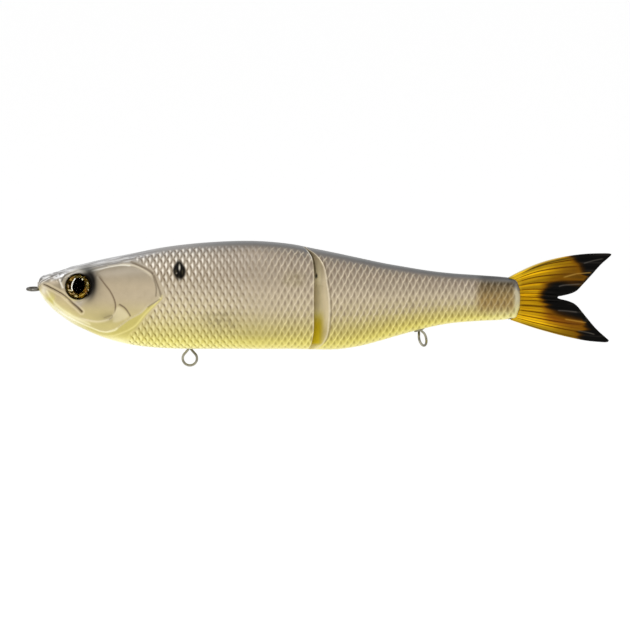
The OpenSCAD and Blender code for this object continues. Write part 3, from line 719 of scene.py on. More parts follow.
# ---------------------------------------------------------------- closed half shells
def shell(name, skin_grid, extra_before, extra_after, top_cols, cavity, body, node, colours, metal, rough):
    """Joins the skin to its joint face and end, fills the parting plane, leaves the hollow inside; makes both halves."""
    G = np.concatenate(extra_before + [skin_grid] + extra_after, 1)
    rows, cols = G.shape[:2]
    quads = grid_quads(rows, cols)
    n_out = rows * cols
    cav, cav_rows, cav_cols = cavity
    n_cav = cav_rows * cav_cols
    co = np.vstack([G.reshape(-1, 3), cav.reshape(-1, 3)])
    cq = grid_quads(cav_rows, cav_cols, n_out)[:, ::-1]
    # the seam's outline in the plane y = 0
    a, b = top_cols
    outline = ([j for j in range(a, b + 1)] + [i * cols + (cols - 1) for i in range(1, rows - 1)] + [(rows - 1) * cols + j for j in range(b, a - 1, -1)] + [i * cols for i in range(rows - 2, 0, -1)])
    pts, ids, seen = [], [], None
    for k in outline:
        p = G.reshape(-1, 3)[k]
        if seen is None or np.hypot(p[0] - seen[0], p[2] - seen[2]) > 1e-3:
            pts.append(p)
            ids.append(k)
            seen = p
    hole = ([n_out + j for j in range(cav_cols)] + [n_out + i * cav_cols + cav_cols - 1 for i in range(1, cav_rows - 1)] + [n_out + (cav_rows - 1) * cav_cols + j for j in range(cav_cols - 1, -1, -1)] + [n_out + i * cav_cols for i in range(cav_rows - 2, 0, -1)])
    hpts, hids, seen = [], [], None
    for k in hole:
        p = co[k]
        if seen is None or np.hypot(p[0] - seen[0], p[2] - seen[2]) > 1e-3:
            hpts.append(p)
            hids.append(k)
            seen = p
    loops = [[Vector((p[0], p[2], 0)) for p in pts], [Vector((p[0], p[2], 0)) for p in hpts]]
    allids = np.array(ids + hids)
    tri = allids[np.array(tessellate_polygon(loops))]
    # turn the parting triangles to face +y for the left half
    pa, pb, pc = co[tri[:, 0]], co[tri[:, 1]], co[tri[:, 2]]
    ny = np.cross(pb - pa, pc - pa)[:, 1]
    tri[ny < 0] = tri[ny < 0][:, ::-1]
    # the skin must face outwards
    q = quads[(rows // 2) * (cols - 1) + cols // 2]
    nn = np.cross(co[q[1]] - co[q[0]], co[q[2]] - co[q[0]])
    if nn[1] > 0:
        quads, cq = quads[:, ::-1], cq[:, ::-1]
    full = np.tile(rgb(196, 186, 150), (n_out + n_cav, 1))
    m = np.full(n_out + n_cav, 0.1)
    r = np.full(n_out + n_cav, 0.5)
    full[:n_out] = colours.reshape(-1, 3)
    m[:n_out], r[:n_out] = metal.ravel(), rough.ravel()
    full[n_out:] = rgb(206, 200, 182)
    made = []
    for side in ("left", "right"):
        c = co.copy()
        qs, ts = np.vstack([quads, cq]), tri
        if side == "right":
            c[:, 1] *= -1
            qs, ts = qs[:, ::-1], ts[:, ::-1]
        ob, src = make_mesh(name + "_" + side, c, qs, ts)
        paint(ob, src, full, metal=m, rough=r)
        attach(ob, body)
        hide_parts(node + "_" + side)
        made.append(ob)
    return made


def cavity_grid(x0, x1, rows=25, cols=40, inset=1.8):
    sk = Skin(rows, inset)
    x = np.tile(np.linspace(x0, x1, cols), (rows, 1))
    y, z, _ = sk.at(x)
    g = np.stack([x, y, z], -1)
    first, last = g[:, :1].copy(), g[:, -1:].copy()
    parts = []
    for k in (0, 0.5):
        c = first.copy()
        c[..., 1] *= k
        parts.append(c)
    parts.append(g)
    for k in (0.5, 0):
        c = last.copy()
        c[..., 1] *= k
        parts.append(c)
    G = np.concatenate(parts, 1)
    return G, rows, G.shape[1]


def plain(shape, colour, metal=0.2, rough=0.32):
    return np.tile(colour, shape + (1,)), np.full(shape, metal), np.full(shape, rough)


# front section
moved, col, met, rou = dress(Pf, fs, "front")
start = moved[:, :1]
cap = []
for k in (0.0, 0.3, 0.6, 0.85):
    c = start.copy()
    c[..., 1] *= k
    c[..., 0] -= 0.35 * (1 - k * k)
    c[..., 2] = 1.3 + (c[..., 2] - 1.3) * (1 - 0.12 * (1 - k))
    cap.append(c)
# every row shares the cap's middle line in y = 0
mid = cap[0]
la = moved[:, -1]
y_l = np.stack([lip], 1)
ly, lz, _ = skin_f.at(lip[:, None])
L = np.stack([lip, ly[:, 0], lz[:, 0]], -1)
inner_y = -np.maximum(np.abs(L[:, 1]) - 0.4, 0)
B = np.stack([notch_x(inner_y) + LIP_OUT, inner_y, L[:, 2]], -1)
fillet = bezier(la, L, B, 6)[:, 1:]
steps = np.linspace(1, 0, 15)[1:]
ny = inner_y[:, None] * steps[None, :]
notch = np.stack([notch_x(ny) + LIP_OUT[:, None] * steps[None, :] ** 3, ny, np.tile(L[:, 2:3], (1, len(steps)))], -1)
nose_c, nose_m, nose_r = plain((F_ROWS, len(cap)), rgb(196, 186, 166))
# the lip's rounded edge is painted paler cream: a painted highlight
fil_c = np.tile(col[:, -1:], (1, fillet.shape[1], 1))
fil_c = mix(fil_c, rgb(226, 214, 184), 0.45)
_, _, vf, _ = picture(np.tile(L[:, None], (1, 2, 1)))
vf = vf[:, :1]


def joint_paint(fcol, width):
    c = palette(np.full((len(fcol), width), 330.0), np.tile(fcol, (1, width)))
    c = mix(c, rgb(196, 176, 128), 0.4 * (1 - smooth(0.6, 0.85, np.tile(fcol, (1, width)))))
    c = mix(c, rgb(184, 168, 120), 0.7 * smooth(0.6, 0.8, np.tile(fcol, (1, width))))
    return c


not_c = joint_paint(vf, len(steps))
colours = np.concatenate([nose_c, col, fil_c, not_c], 1)
# painted highlight: whiter along the lip's edge near the top
fil_c = mix(fil_c, rgb(240, 236, 224), 0.75 * smooth(0.012, 0.03, vf) * (1 - smooth(0.08, 0.14, vf)))
colours = np.concatenate([nose_c, col, fil_c, not_c], 1)
metal = np.concatenate([nose_m, met, np.full(fillet.shape[:2], 0.2), np.full(notch.shape[:2], 0.1)], 1)
rough = np.concatenate([nose_r, rou, np.full(fillet.shape[:2], 0.3), np.full(notch.shape[:2], 0.42)], 1)
cols_f = colours.shape[1]
front_objs = shell("skin_front", moved, cap, [fillet, notch], (0, cols_f - 1), cavity_grid(9.5, 91.0), "front", "head_shell", colours, metal, rough)

# rear section
clamp = rx.shape[1] - len(end_x)
moved, col, met, rou = dress(Pr, rs, "rear")
SLOT_Y = 1.18
late = moved[:, clamp:]
late[..., 1] = np.minimum(late[..., 1], -SLOT_Y)
moved[:, clamp:] = late
lb = moved[:, 0]
ey, ez, _ = skin_r.at(edge[:, None])
L = np.stack([edge, ey[:, 0], ez[:, 0]], -1)
inner_y = -np.maximum(np.abs(L[:, 1]) - 0.4, 0)
B = np.stack([wedge_x(inner_y) - RIM_OUT, inner_y, L[:, 2]], -1)
fillet = bezier(B, L, lb, 6)[:, :-1]
NW = 26
wedge = np.zeros((R_ROWS, NW, 3))
k = np.linspace(0, 1, NW + 1)[:-1]
for i in range(R_ROWS):
    z = L[i, 2]
    yb = abs(inner_y[i])
    slot_here = min(abs(z - 3.5), abs(z + 10.5)) < 1.05 and yb > 4.0
    if slot_here:
        t = np.linspace(0, np.pi / 2, 14)
        pl = [(PIN_X + 2.75 * math.cos(a), 2.75 * math.sin(a)) for a in t] + [(PIN_X - 1.0, 2.75), (float(wedge_x(2.75)), 2.75), (float(wedge_x(yb)), yb)]
    else:
        yy = np.linspace(0, yb, 40)
        pl = list(zip(wedge_x(yy), yy))
    pl = np.array(pl, float)
    pl[:, 0] -= RIM_OUT[i] * (np.clip(pl[:, 1] / max(yb, 0.5), 0, 1)) ** 3
    run = np.concatenate([[0], np.cumsum(np.hypot(*np.diff(pl, axis=0).T))])
    want = k * run[-1]
    wedge[i, :, 0] = np.interp(want, run, pl[:, 0])
    wedge[i, :, 1] = -np.interp(want, run, pl[:, 1])
    wedge[i, :, 2] = z
end = moved[:, -1:]
wall_x = np.linspace(169.8, 165.9, 8)
wall = []
for xw in (169.8,) + tuple(wall_x[1:]):
    _, zz, _ = skin_r.at(np.full((R_ROWS, 1), xw))
    wall.append(np.stack([np.full(R_ROWS, xw), np.full(R_ROWS, -SLOT_Y), zz[:, 0]], -1)[:, None])
inner_end = wall[-1].copy()
inner_end[..., 1] = 0
wall = wall + [inner_end]
_, _, vf, _ = picture(np.tile(L[:, None], (1, 2, 1)))
vf = vf[:, :1]
w_px, w_py, _, _ = picture(wedge)
w_c = joint_paint(vf, NW)
# painted light: the wedge's face is made paler where the gap's shade falls on it
w_c = mix(w_c, rgb(250, 238, 205), 0.45 * (1 - smooth(0.68, 0.85, np.tile(vf, (1, NW)))))
w_c = mix(w_c, rgb(120, 110, 92), 0.75 * (1 - smooth(0.0, 0.1, np.tile(vf, (1, NW)))))
w_c = w_c * (0.97 + 0.06 * noise2(w_px * 0.6, w_py * 0.12, 61))[..., None]
slotted = np.minimum(np.abs(L[:, 2] - 3.5), np.abs(L[:, 2] + 10.5)) < 1.05
# painted light: the inner columns, deeper in the gap's shade, are brightened further
w_c = mix(w_c, np.minimum(w_c * 1.3, 1.0), np.tile(1 - smooth(0.35, 0.95, np.linspace(0, 1, NW))[None, :], (R_ROWS, 1)))
lip_px, lip_py = project(np.stack([lip, ly[:, 0], lz[:, 0]], -1))
lip_line = np.stack([lip_px, lip_py], -1)
lip_line = lip_line[np.argsort(lip_line[:, 1])]
amber_zone = smooth(306, 328, w_py) * (1 - smooth(318.5, 325.5, w_px + 0.08 * (w_py - 326)))
# painted light: near-white over the shaded left part of the wedge
w_c = mix(w_c, rgb(255, 246, 206), 0.8 * (1 - smooth(318, 323, w_px)) * smooth(258, 268, w_py) * (1 - smooth(304, 320, w_py)))
w_c = mix(w_c, mix(rgb(238, 214, 24), rgb(196, 174, 20), smooth(316, 322, w_px)), 0.84 * amber_zone * (1 - smooth(342, 346, w_py)))
w_c = mix(w_c, rgb(240, 228, 150), 0.8 * smooth(343, 346.5, w_py))
w_c = mix(w_c, rgb(204, 190, 148), 0.5 * smooth(276, 290, w_py) * (1 - smooth(304, 316, w_py)) * (1 - smooth(319, 324, w_px)))
# painted shade: the slots' insides are dark
w_c[slotted, :NW // 2] = rgb(60, 52, 38)
w_c = mix(w_c, rgb(10, 8, 5), 0.97 * blob(w_px, w_py, 316.2, 275.8, 1.2, 2.5, 3))
# painted shadow: a dark line in the gap along the front lip, near the top
w_c = mix(w_c, rgb(44, 38, 30), 0.8 * np.exp(-((w_px - np.interp(w_py, lip_line[:, 1], lip_line[:, 0]) - 0.9) / 0.6) ** 2) * smooth(250, 254, w_py) * (1 - smooth(271, 275, w_py)))
w_c = mix(w_c, rgb(120, 104, 76), 0.42 * (1 - smooth(264, 282, w_py)))
# painted highlight: the rim's rounded edge is pale cream
f_c = mix(np.tile(col[:, :1], (1, fillet.shape[1], 1)), rgb(212, 199, 172), 0.75)
f_c = mix(f_c, w_c[:, -1:], np.linspace(0.9, 0.0, fillet.shape[1])[None, :])
e_c = np.tile(rgb(196, 188, 156), (R_ROWS, len(wall), 1))
colours = np.concatenate([w_c, f_c, col, e_c], 1)
metal = np.concatenate([np.full((R_ROWS, NW), 0.12), np.full(fillet.shape[:2], 0.25), met, np.full((R_ROWS, len(wall)), 0.1)], 1)
rough = np.concatenate([np.full((R_ROWS, NW), 0.36), np.full(fillet.shape[:2], 0.3), rou, np.full((R_ROWS, len(wall)), 0.5)], 1)
top_end = NW + fillet.shape[1] + clamp - 1
rear_objs = shell("skin_rear", moved, [wedge, fillet], wall, (0, top_end), cavity_grid(103.5, 153, 25, 30), "rear", "rear_shell", colours, metal, rough)


# ---------------------------------------------------------------- eyes
def eye_parts(side):
    sgn = -1 if side == "left" else 1

    def place(uvw):
        p = EYE_C + uvw[..., :1] * EU + uvw[..., 1:2] * EV + uvw[..., 2:3] * EN
        if sgn > 0:
            p = p * np.array([1, -1, 1])
        return p

    # printed iris: a shallow dish under the lens
    nr, na = 44, 128
    r = np.linspace(0, 1, nr) ** 0.85 * 4.42
    a = np.linspace(0, 2 * np.pi, na, endpoint=False)
    R, A = np.meshgrid(r, a, indexing="ij")
    u, v = R * np.cos(A), R * np.sin(A)
    # EU points to the tail, EV up
    du, dv = (u - 0.08) / 0.83, v - 0.30
    rp = np.hypot(du, dv)
    top = -0.30 - 0.10 * smooth(2.4, 3.6, rp) * (1 - smooth(3.7, 4.1, R)) - 0.02
    top = top + 0.008 * np.sin(A * 46 + 3 * noise2(A * 3, R, 71)) * smooth(2.5, 2.9, rp) * (1 - smooth(3.6, 4.0, R))
    gold = mix(rgb(50, 36, 6), rgb(92, 68, 14), smooth(0.3, 0.8, noise2(A * 5, R * 1.4, 73)))
    for line, tone, wide_, much in (
            ([(-2.9, 2.5), (-2.3, 2.9), (-1.9, 3.1)], (142, 106, 44), 0.55, 0.9),
            ([(-1.6, 3.5), (-0.5, 3.3), (0.9, 3.35), (2.1, 2.85)], (96, 88, 52), 0.30, 0.9),
            ([(-2.95, 1.2), (-3.0, 0.1), (-2.9, -1.0)], (24, 10, 2), 0.34, 0.95),
            ([(3.05, 1.7), (3.35, 0.5), (3.15, -0.5)], (116, 104, 62), 0.42, 0.9),
            ([(2.6, -0.8), (2.85, -1.4), (2.65, -2.0)], (146, 98, 38), 0.38, 0.9),
            ([(0.7, -3.25), (1.5, -2.9), (2.15, -2.4)], (206, 174, 84), 0.26, 0.9),
            ([(0.75, -3.7), (1.4, -3.55), (2.0, -3.25)], (118, 82, 4), 0.24, 0.9),
            ([(-3.05, -1.95), (-2.35, -2.6), (-1.3, -2.55)], (186, 160, 112), 0.22, 0.9),
            ([(-3.35, -1.38), (-2.7, -1.4), (-2.1, -1.45)], (246, 236, 186), 0.26, 0.98),
            ([(-3.52, 0.35), (-3.52, -0.25)], (210, 190, 166), 0.20, 0.9),
            ([(-0.85, -3.3), (-0.55, -3.34)], (240, 226, 168), 0.34, 0.95),
            ([(3.15, -2.4), (3.2, -2.7)], (180, 150, 118), 0.28, 0.8),
            ([(-2.8, 2.25), (-2.7, 2.3)], (214, 184, 104), 0.24, 0.9),
            ([(3.66, -1.0), (3.68, -1.12)], (240, 236, 224), 0.20, 0.9),
            ([(3.36, 1.3), (3.37, 1.2)], (214, 210, 190), 0.18, 0.8)):
        far = line_distance(u, v, curve(line) if len(line) > 2 else np.array(line, float))[0]
        gold = mix(gold, rgb(*tone), much * np.exp(-(far / wide_) ** 2))
    pupil = 1 - smooth(2.54, 2.72, rp)
    ring = smooth(3.90, 4.12, R)
    c = mix(gold, mix(rgb(12, 8, 2), rgb(44, 34, 6), smooth(0.5, 3.0, -u)), ring)
    c = mix(c, rgb(38, 24, 8), 0.7 * np.exp(-((rp - 2.66) / 0.14) ** 2))
    c = mix(c, rgb(2, 1, 1), pupil)
    # painted highlight: a white crescent along the pupil's left edge, where the lens reflects a lamp
    arc = line_distance(u, v, curve([(-1.22, 2.72), (-1.80, 1.66), (-2.18, 0.55), (-2.26, -0.45), (-2.06, -1.3)]))[0]
    eye_highlight = 1 - smooth(0.13, 0.25, arc)
    c = mix(c, rgb(255, 252, 244), 0.98 * eye_highlight)
    # painted glint: a small white spot on the upper iris
    spark = 1 - smooth(0.20, 0.34, np.hypot(u - 1.42, v - 2.52))
    c = mix(c, rgb(255, 254, 226), 0.98 * spark)
    eye_highlight = np.maximum(eye_highlight, spark)
    metal_ = 0.25 * (1 - pupil) * (1 - 0.8 * ring) * (1 - eye_highlight)
    rough_ = 0.30 + 0.1 * pupil
    topg = np.stack([u, v, top], -1)
    botg = topg.copy()
    botg[..., 2] = -0.86
    G = np.vstack([topg, botg[::-1]])
    n = len(G)
    i, j = np.meshgrid(np.arange(n - 1), np.arange(na), indexing="ij")
    q = np.stack([i * na + j, i * na + (j + 1) % na, (i + 1) * na + (j + 1) % na, (i + 1) * na + j], -1).reshape(-1, 4)
    if sgn < 0:
        q = q[:, ::-1]
    C = np.vstack([c, np.tile(rgb(40, 36, 30), (nr, na, 1))])
    M = np.vstack([metal_, np.full((nr, na), 0.3)])
    K = np.vstack([rough_, np.full((nr, na), 0.5)])
    ob, src = make_mesh("eye_print_" + side, place(G).reshape(-1, 3), q, np.zeros((0, 3), int), 60)
    paint(ob, src, C, metal=M, rough=K)
    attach(ob, "front")
    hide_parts("iris_" + side)

    # clear domed lens
    h, rr = 1.5, 4.47
    big = (rr * rr + h * h) / (2 * h)
    ang = np.linspace(0, math.asin(rr / big), 30)
    prof = [(big * math.sin(t), 0.05 + h - big + big * math.cos(t)) for t in ang]
    prof += [(4.47, -0.02), (4.42, -0.2), (4.3, -0.25), (3.0, -0.25), (1.5, -0.25), (0, -0.25)]
    prof = np.array(prof)
    G = np.stack([prof[:, :1] * np.cos(a)[None], prof[:, :1] * np.sin(a)[None], np.tile(prof[:, 1:], (1, na))], -1)
    n = len(G)
    i, j = np.meshgrid(np.arange(n - 1), np.arange(na), indexing="ij")
    q = np.stack([i * na + j, i * na + (j + 1) % na, (i + 1) * na + (j + 1) % na, (i + 1) * na + j], -1).reshape(-1, 4)
    if sgn < 0:
        q = q[:, ::-1]
    lens, _ = make_mesh("eye_lens_" + side, place(G).reshape(-1, 3), q, np.zeros((0, 3), int), 60)
    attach(lens, "front")
    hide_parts("lens_" + side)
    return ob, lens


eyes = [eye_parts("left"), eye_parts("right")]


# ---------------------------------------------------------------- wire hangers
def sweep(path, radius, sides=18, caps=True):
    """A round wire along a path: points (n, 3)."""
    p = np.asarray(path, float)
    t = np.gradient(p, axis=0)
    t /= np.linalg.norm(t, axis=1, keepdims=True)
    ref = np.array([0.0, 1.0, 0.0])
    rings = []
    for k in range(len(p)):
        side = ref - t[k] * (ref @ t[k])
        side /= np.linalg.norm(side)
        up = np.cross(t[k], side)
        ref = side
        a = np.linspace(0, 2 * np.pi, sides, endpoint=False)
        rings.append(p[k] + radius * (np.cos(a)[:, None] * side + np.sin(a)[:, None] * up))
    co = np.vstack(rings + [p[:1], p[-1:]])
    n = len(p)
    i, j = np.meshgrid(np.arange(n - 1), np.arange(sides), indexing="ij")
    q = np.stack([i * sides + j, i * sides + (j + 1) % sides, (i + 1) * sides + (j + 1) % sides, (i + 1) * sides + j], -1).reshape(-1, 4)
    c0, c1 = n * sides, n * sides + 1
    tr = [[c0, (j + 1) % sides, j] for j in range(sides)] + [[c1, (n - 1) * sides + j, (n - 1) * sides + (j + 1) % sides] for j in range(sides)]
    return co, q, np.array(tr)


def hanger_path(R=2.50, neck=3.55, top=7.2, half=0.47):
    """One wire: down into the ring, round it and back up beside itself, in the local XZ plane."""
    pts = [(-half, top), (-half, (top + neck) / 2), (-half, neck), (-half - 0.32, neck - 0.62)]
    for a in np.linspace(132, 408, 56):
        pts.append((R * math.cos(math.radians(a)), R * math.sin(math.radians(a))))
    pts += [(half + 0.32, neck - 0.62), (half, neck), (half, (top + neck) / 2), (half, top)]
    line = curve(pts, 4)
    return np.stack([line[:, 0], np.zeros(len(line)), line[:, 1]], -1)


def hanger(name, node, body, origin, tilt, turn, top):
    co, q, tr = sweep(hanger_path(top=top), 0.44)
    m = Matrix.Rotation(math.radians(tilt), 3, "Y") @ Matrix.Rotation(math.radians(turn), 3, "Z")
    co = co @ np.array(m).T + np.array(origin)
    ob, src = make_mesh(name, co, q, tr, 70)
    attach(ob, body)
    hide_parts(node)
    return ob


front_ring = hanger("hanger_wire_front", "front_hanger_eye", "front_hanger", (54.4, 0, -24.8), 0, 0, 8.2)
rear_ring = hanger("hanger_wire_rear", "rear_hanger_eye", "rear_hanger", (136.1, 0, -17.7), -20, 62, 7.6)


# ---------------------------------------------------------------- soft tail
def fin():
    top = curve([(166.2, 4.3), (169.9, 6.3), (174.6, 8.5), (179.2, 10.1), (183.9, 11.2), (188.5, 12.0), (193.2, 12.5), (197.8, 12.65), (200.6, 12.62), (201.6, 12.4)], 12)
    bottom = curve([(166.8, -11), (170.2, -12.2), (174.9, -13.8), (179.6, -15.2), (184.4, -16.5), (189.1, -17.6), (193.8, -18.5), (199.2, -19.0), (200.8, -18.95), (201.35, -18.6)], 12)
    top = np.vstack([[(158, 1.4), (165.8, 1.4)], top])
    bottom = np.vstack([[(158, -8.4), (165.8, -8.4)], bottom])
    up = curve([(201.6, 12.4), (201.5, 11.9), (200.6, 11.0), (197.9, 8.5), (194.9, 5.0), (191.8, 1.5), (189.7, -0.7), (187.2, -1.8), (184.9, -2.3), (183.6, -2.55), (183.2, -2.95)], 12)
    down = curve([(183.2, -2.95), (183.4, -3.3), (184.3, -3.6), (187.3, -4.4), (189.8, -5.8), (193, -9.6), (196.8, -14.1), (200.4, -17.4), (201.3, -18.2), (201.35, -18.6)], 12)

    def by_length(line, m):
        run = np.concatenate([[0], np.cumsum(np.hypot(*np.diff(line, axis=0).T))])
        w = np.linspace(0, run[-1], m)
        return np.stack([np.interp(w, run, line[:, 0]), np.interp(w, run, line[:, 1])], -1)

    NU, NV = 128, 385
    u = np.concatenate([np.linspace(0, 0.17, 6), np.linspace(0.17, 1, NU - 5)[1:]])
    v = np.linspace(0, 1, NV)
    # both margins by the same x, so that rays fan evenly
    T = np.stack([158 + u * (201.6 - 158), np.interp(158 + u * (201.6 - 158), top[:, 0], top[:, 1])], -1)
    B = np.stack([158 + u * (201.35 - 158), np.interp(158 + u * (201.35 - 158), bottom[:, 0], bottom[:, 1])], -1)
    half = NV // 2
    E = np.vstack([by_length(up, half + 1), by_length(down, NV - half)[1:]])
    Rt = np.stack([np.full(NV, 158.0), 1.4 + (-8.4 - 1.4) * v], -1)
    U, V = u[:, None, None], v[None, :, None]
    P = (1 - V) * T[:, None] + V * B[:, None] + (1 - U) * Rt[None] + U * E[None]
    P -= (1 - U) * (1 - V) * T[0] + U * (1 - V) * T[-1] + (1 - U) * V * B[0] + U * V * B[-1]
    outline = np.vstack([top, up, down, bottom[::-1]])
    d, _ = line_distance(P[..., 0] * 1.0, P[..., 1] * 1.0, outline[::2], closed=True)
    d = np.minimum(d, 6)
    d[:, 0] = d[:, -1] = 0
    d[-1] = d[0] = 0
    x, z = P[..., 0], P[..., 1]
    px, py = project(np.stack([x, np.zeros(x.shape), z], -1))
    vv = np.broadcast_to(v[None, :], x.shape)
    uu = np.broadcast_to(u[:, None], x.shape)
    thick = np.interp(x, [158, 171.3, 203], [1.1, 1.08, 0.5])
    edge_r = 0.55
    e = np.clip(d / edge_r, 0, 1)
    half_t = thick * np.sqrt(np.clip(1 - (1 - e) ** 2, 0, 1))
    # rays: one deep valley a band, with finer cords between
    NB = 13.0
    wob = 0.35 * (noise2(0 * uu + 1.5, vv * 9, 81) - 0.5)
    ph = vv * NB + 0.35 + wob
    fr = ph % 1
    idx = np.floor(ph)
    major = np.exp(-(np.minimum(fr, 1 - fr) / 0.085) ** 2)
    fine_n = 2.0
    ff = (fr * fine_n) % 1
    fine = np.exp(-(np.minimum(ff, 1 - ff) / 0.17) ** 2) * (0.45 + 0.55 * noise2(uu * 2, idx * 3 + np.floor(fr * fine_n) * 1.7, 86))
    shown = smooth(168.5, 171.5, x)
    inside_m = smooth(0.4, 1.4, d)
    ridge = (0.10 * np.sin(np.pi * fr) ** 0.8 - 0.15 * major - 0.05 * fine) * shown * inside_m
    half_t = np.maximum(half_t + ridge * smooth(0.2, 0.5, half_t), 0.0)

    # paint
    amber = rgb(224, 172, 6)
    near_root = 1 - smooth(525, 575, px)
    margin = np.exp(-(np.minimum(vv, 1 - vv) / 0.14) ** 2)
    col = mix(rgb(176, 126, 4), amber, np.clip(0.55 * near_root + 0.75 * margin, 0, 1))
    col = mix(col, rgb(240, 198, 36), 0.7 * margin * near_root)
    outer = smooth(538, 580, px)
    col = mix(col, rgb(108, 70, 8), 0.86 * outer * (1 - 0.55 * margin))
    streak = noise2(uu * 2.2 + 2, vv * 27, 82)
    col = col * (0.62 + 0.56 * streak)[..., None]
    # painted highlight: pale gold along the middle of each ray's ridge
    ridge_highlight = np.exp(-((fr - 0.5) / 0.14) ** 2)
    col = mix(col, rgb(246, 206, 60), 0.35 * ridge_highlight * (1 - outer) * smooth(0.3, 0.7, noise2(uu * 3, idx * 3.7, 83)))
    col = mix(col, rgb(92, 52, 0), np.clip(0.92 * major + 0.58 * fine * (0.4 + streak), 0, 0.94) * mix(0.78, 1.0, smooth(524, 552, px)))
    rust = smooth(0.55, 0.75, vv) * (1 - smooth(0.75, 0.9, vv)) * smooth(536, 556, px)
    col = mix(col, rgb(98, 38, 8), 0.8 * rust * (0.35 + 0.65 * streak))
    col = mix(col, rgb(104, 68, 10), 0.55 * blob(px, py, 574, 273.5, 17, 6.5) + 0.5 * blob(px, py, 576, 323, 16, 8))
    # black of the fork and of the tips, feathered along the rays
    feather = 3.6 * (noise2(uu * 3, vv * 30, 84) - 0.5)
    fork = curve([(544.5, 296), (546, 289), (551, 284), (560, 281.5), (572, 283), (584, 284), (600, 288), (600, 314), (588, 317), (572, 314.5), (558, 311.5), (550, 307), (546, 302)], 6, True)
    up_tip = np.array([(582, 240), (580, 257), (584, 264), (589, 269), (593, 274), (600, 278), (630, 280), (630, 240)], float)
    low_tip = np.array([(594, 327), (588, 332), (582, 337), (577, 345), (577, 360), (630, 360), (630, 320), (604, 322)], float)
    edge_black = np.where((px > 582), 1 - smooth(0.3, 1.6, d), 0) * smooth(0.02, 0.05, np.minimum(vv, 1 - vv))
    k = smooth(-11.5, 7.0, signed(px, py, fork) - 0.5 + 1.5 * feather)
    k = np.maximum(k, smooth(-15.0, 4.0, signed(px, py, up_tip) + 2.2 * feather))
    k = np.maximum(k, smooth(-15.0, 4.0, signed(px, py, low_tip) + 2.2 * feather))
    k = np.maximum(k, 0.62 * edge_black)
    low_edge = (1 - smooth(0.7, 3.2, d)) * smooth(574, 583, px) * smooth(0.55, 0.6, vv) * smooth(0.02, 0.10, 1 - vv)
    k = np.maximum(k, 0.9 * low_edge)
    up_edge = (1 - smooth(0.3, 2.2, d)) * smooth(576, 584, px) * (1 - smooth(0.40, 0.45, vv)) * smooth(0.02, 0.10, vv)
    k = np.maximum(k, 0.6 * up_edge)
    # the black is lighter grey along the ray ridges: painted highlight
    black = mix(rgb(9, 8, 7), rgb(50, 46, 42), 0.55 * np.exp(-((fr - 0.5) / 0.12) ** 2) * smooth(0.45, 0.8, noise2(uu * 4, idx * 2.3, 85)))
    col = mix(col, rgb(112, 70, 2), 0.85 * smooth(0.04, 0.40, k))
    col = mix(col, rgb(40, 22, 3), 0.9 * smooth(0.30, 0.62, k))
    col = mix(col, black, smooth(0.5, 0.85, k))
    for line, tone, wide in (([(558, 286.2), (563, 284.8), (572, 284.2), (582, 283.6)], rgb(84, 78, 72), 0.7), ([(557, 309.9), (566, 310.4), (578, 311.8)], rgb(80, 74, 68), 0.7),
                             ([(583, 263.2), (592, 260.6), (604, 258.2)], rgb(78, 74, 68), 0.6), ([(562, 277.2), (575, 273.8), (584, 272.8), (592, 272.2)], rgb(166, 130, 60), 0.7),
                             ([(564, 318.6), (576, 320.6), (587, 322.4)], rgb(166, 124, 50), 0.7), ([(577, 330.3), (588, 332.3), (595, 334.2)], rgb(92, 86, 78), 0.6)):
        dd, tt = line_distance(px, py, curve(line))
        col = mix(col, tone, 0.8 * np.exp(-(dd / wide) ** 2) * smooth(0.0, 0.12, tt) * (1 - smooth(0.85, 1.0, tt)))
    # dusky rim along the upper margin, pale one just outside it
    dm = np.where(vv < 0.5, d, 99)
    col = mix(col, rgb(62, 48, 14), 0.9 * np.exp(-((dm - 0.72) / 0.30) ** 2) * smooth(520, 534, px) * (1 - k))
    # painted shade: dark olive at the top of the fin's root, where it leaves the body
    col = mix(col, rgb(70, 68, 34), 0.7 * (1 - smooth(509, 514.5, px)) * (vv < 0.3))
    col = mix(col, rgb(196, 192, 178), 0.75 * (1 - smooth(0.05, 0.3, dm)) * (1 - smooth(545, 572, px)))
    dl = np.where(vv > 0.5, d, 99)
    col = mix(col, rgb(112, 92, 16), 0.75 * np.exp(-((dl - 0.42) / 0.26) ** 2) * smooth(518, 530, px) * (1 - k))
    collar = 1 - smooth(519.5, 522.5, px)
    col = mix(col, rgb(214, 178, 44), 0.35 * collar)
    rough = mix(0.36, 0.30, k)

    side_a = np.stack([x, -half_t, z], -1).reshape(-1, 3)
    side_b = np.stack([x, half_t, z], -1).reshape(-1, 3)
    q = grid_quads(NU + 0, NV)
    n = NU * NV
    qa, qb = q, q[:, ::-1] + n
    a0 = side_a[q[len(q) // 2]]
    nrm = np.cross(a0[1] - a0[0], a0[2] - a0[0])
    if nrm[1] > 0:
        qa, qb = qa[:, ::-1], qb[:, ::-1]
    # the margins have no thickness there, so both sides share them
    co = np.vstack([side_a, side_b])
    edge_ids = np.zeros((NU, NV), bool)
    edge_ids[0] = edge_ids[-1] = True
    edge_ids[:, 0] = edge_ids[:, -1] = True
    flat = edge_ids.ravel()
    co[:n][flat, 1] = 0
    co[n:][flat, 1] = 0
    ob, src = make_mesh("soft_tail", co, np.vstack([qa, qb]), np.zeros((0, 3), int), 0)
    paint(ob, src, np.vstack([col.reshape(-1, 3)] * 2), metal=np.tile(np.zeros(n), 2), rough=np.tile(rough.ravel(), 2), dark=np.tile(k.ravel(), 2))
    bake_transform(ob)
    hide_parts("tail_tab", "tail_blade")
    return ob


tail = fin()


# ---------------------------------------------------------------- materials
def new_material(name):
    m = bpy.data.materials.new(name)
    m.use_nodes = True
    nt = m.node_tree
    return m, nt, nt.nodes["Principled BSDF"]


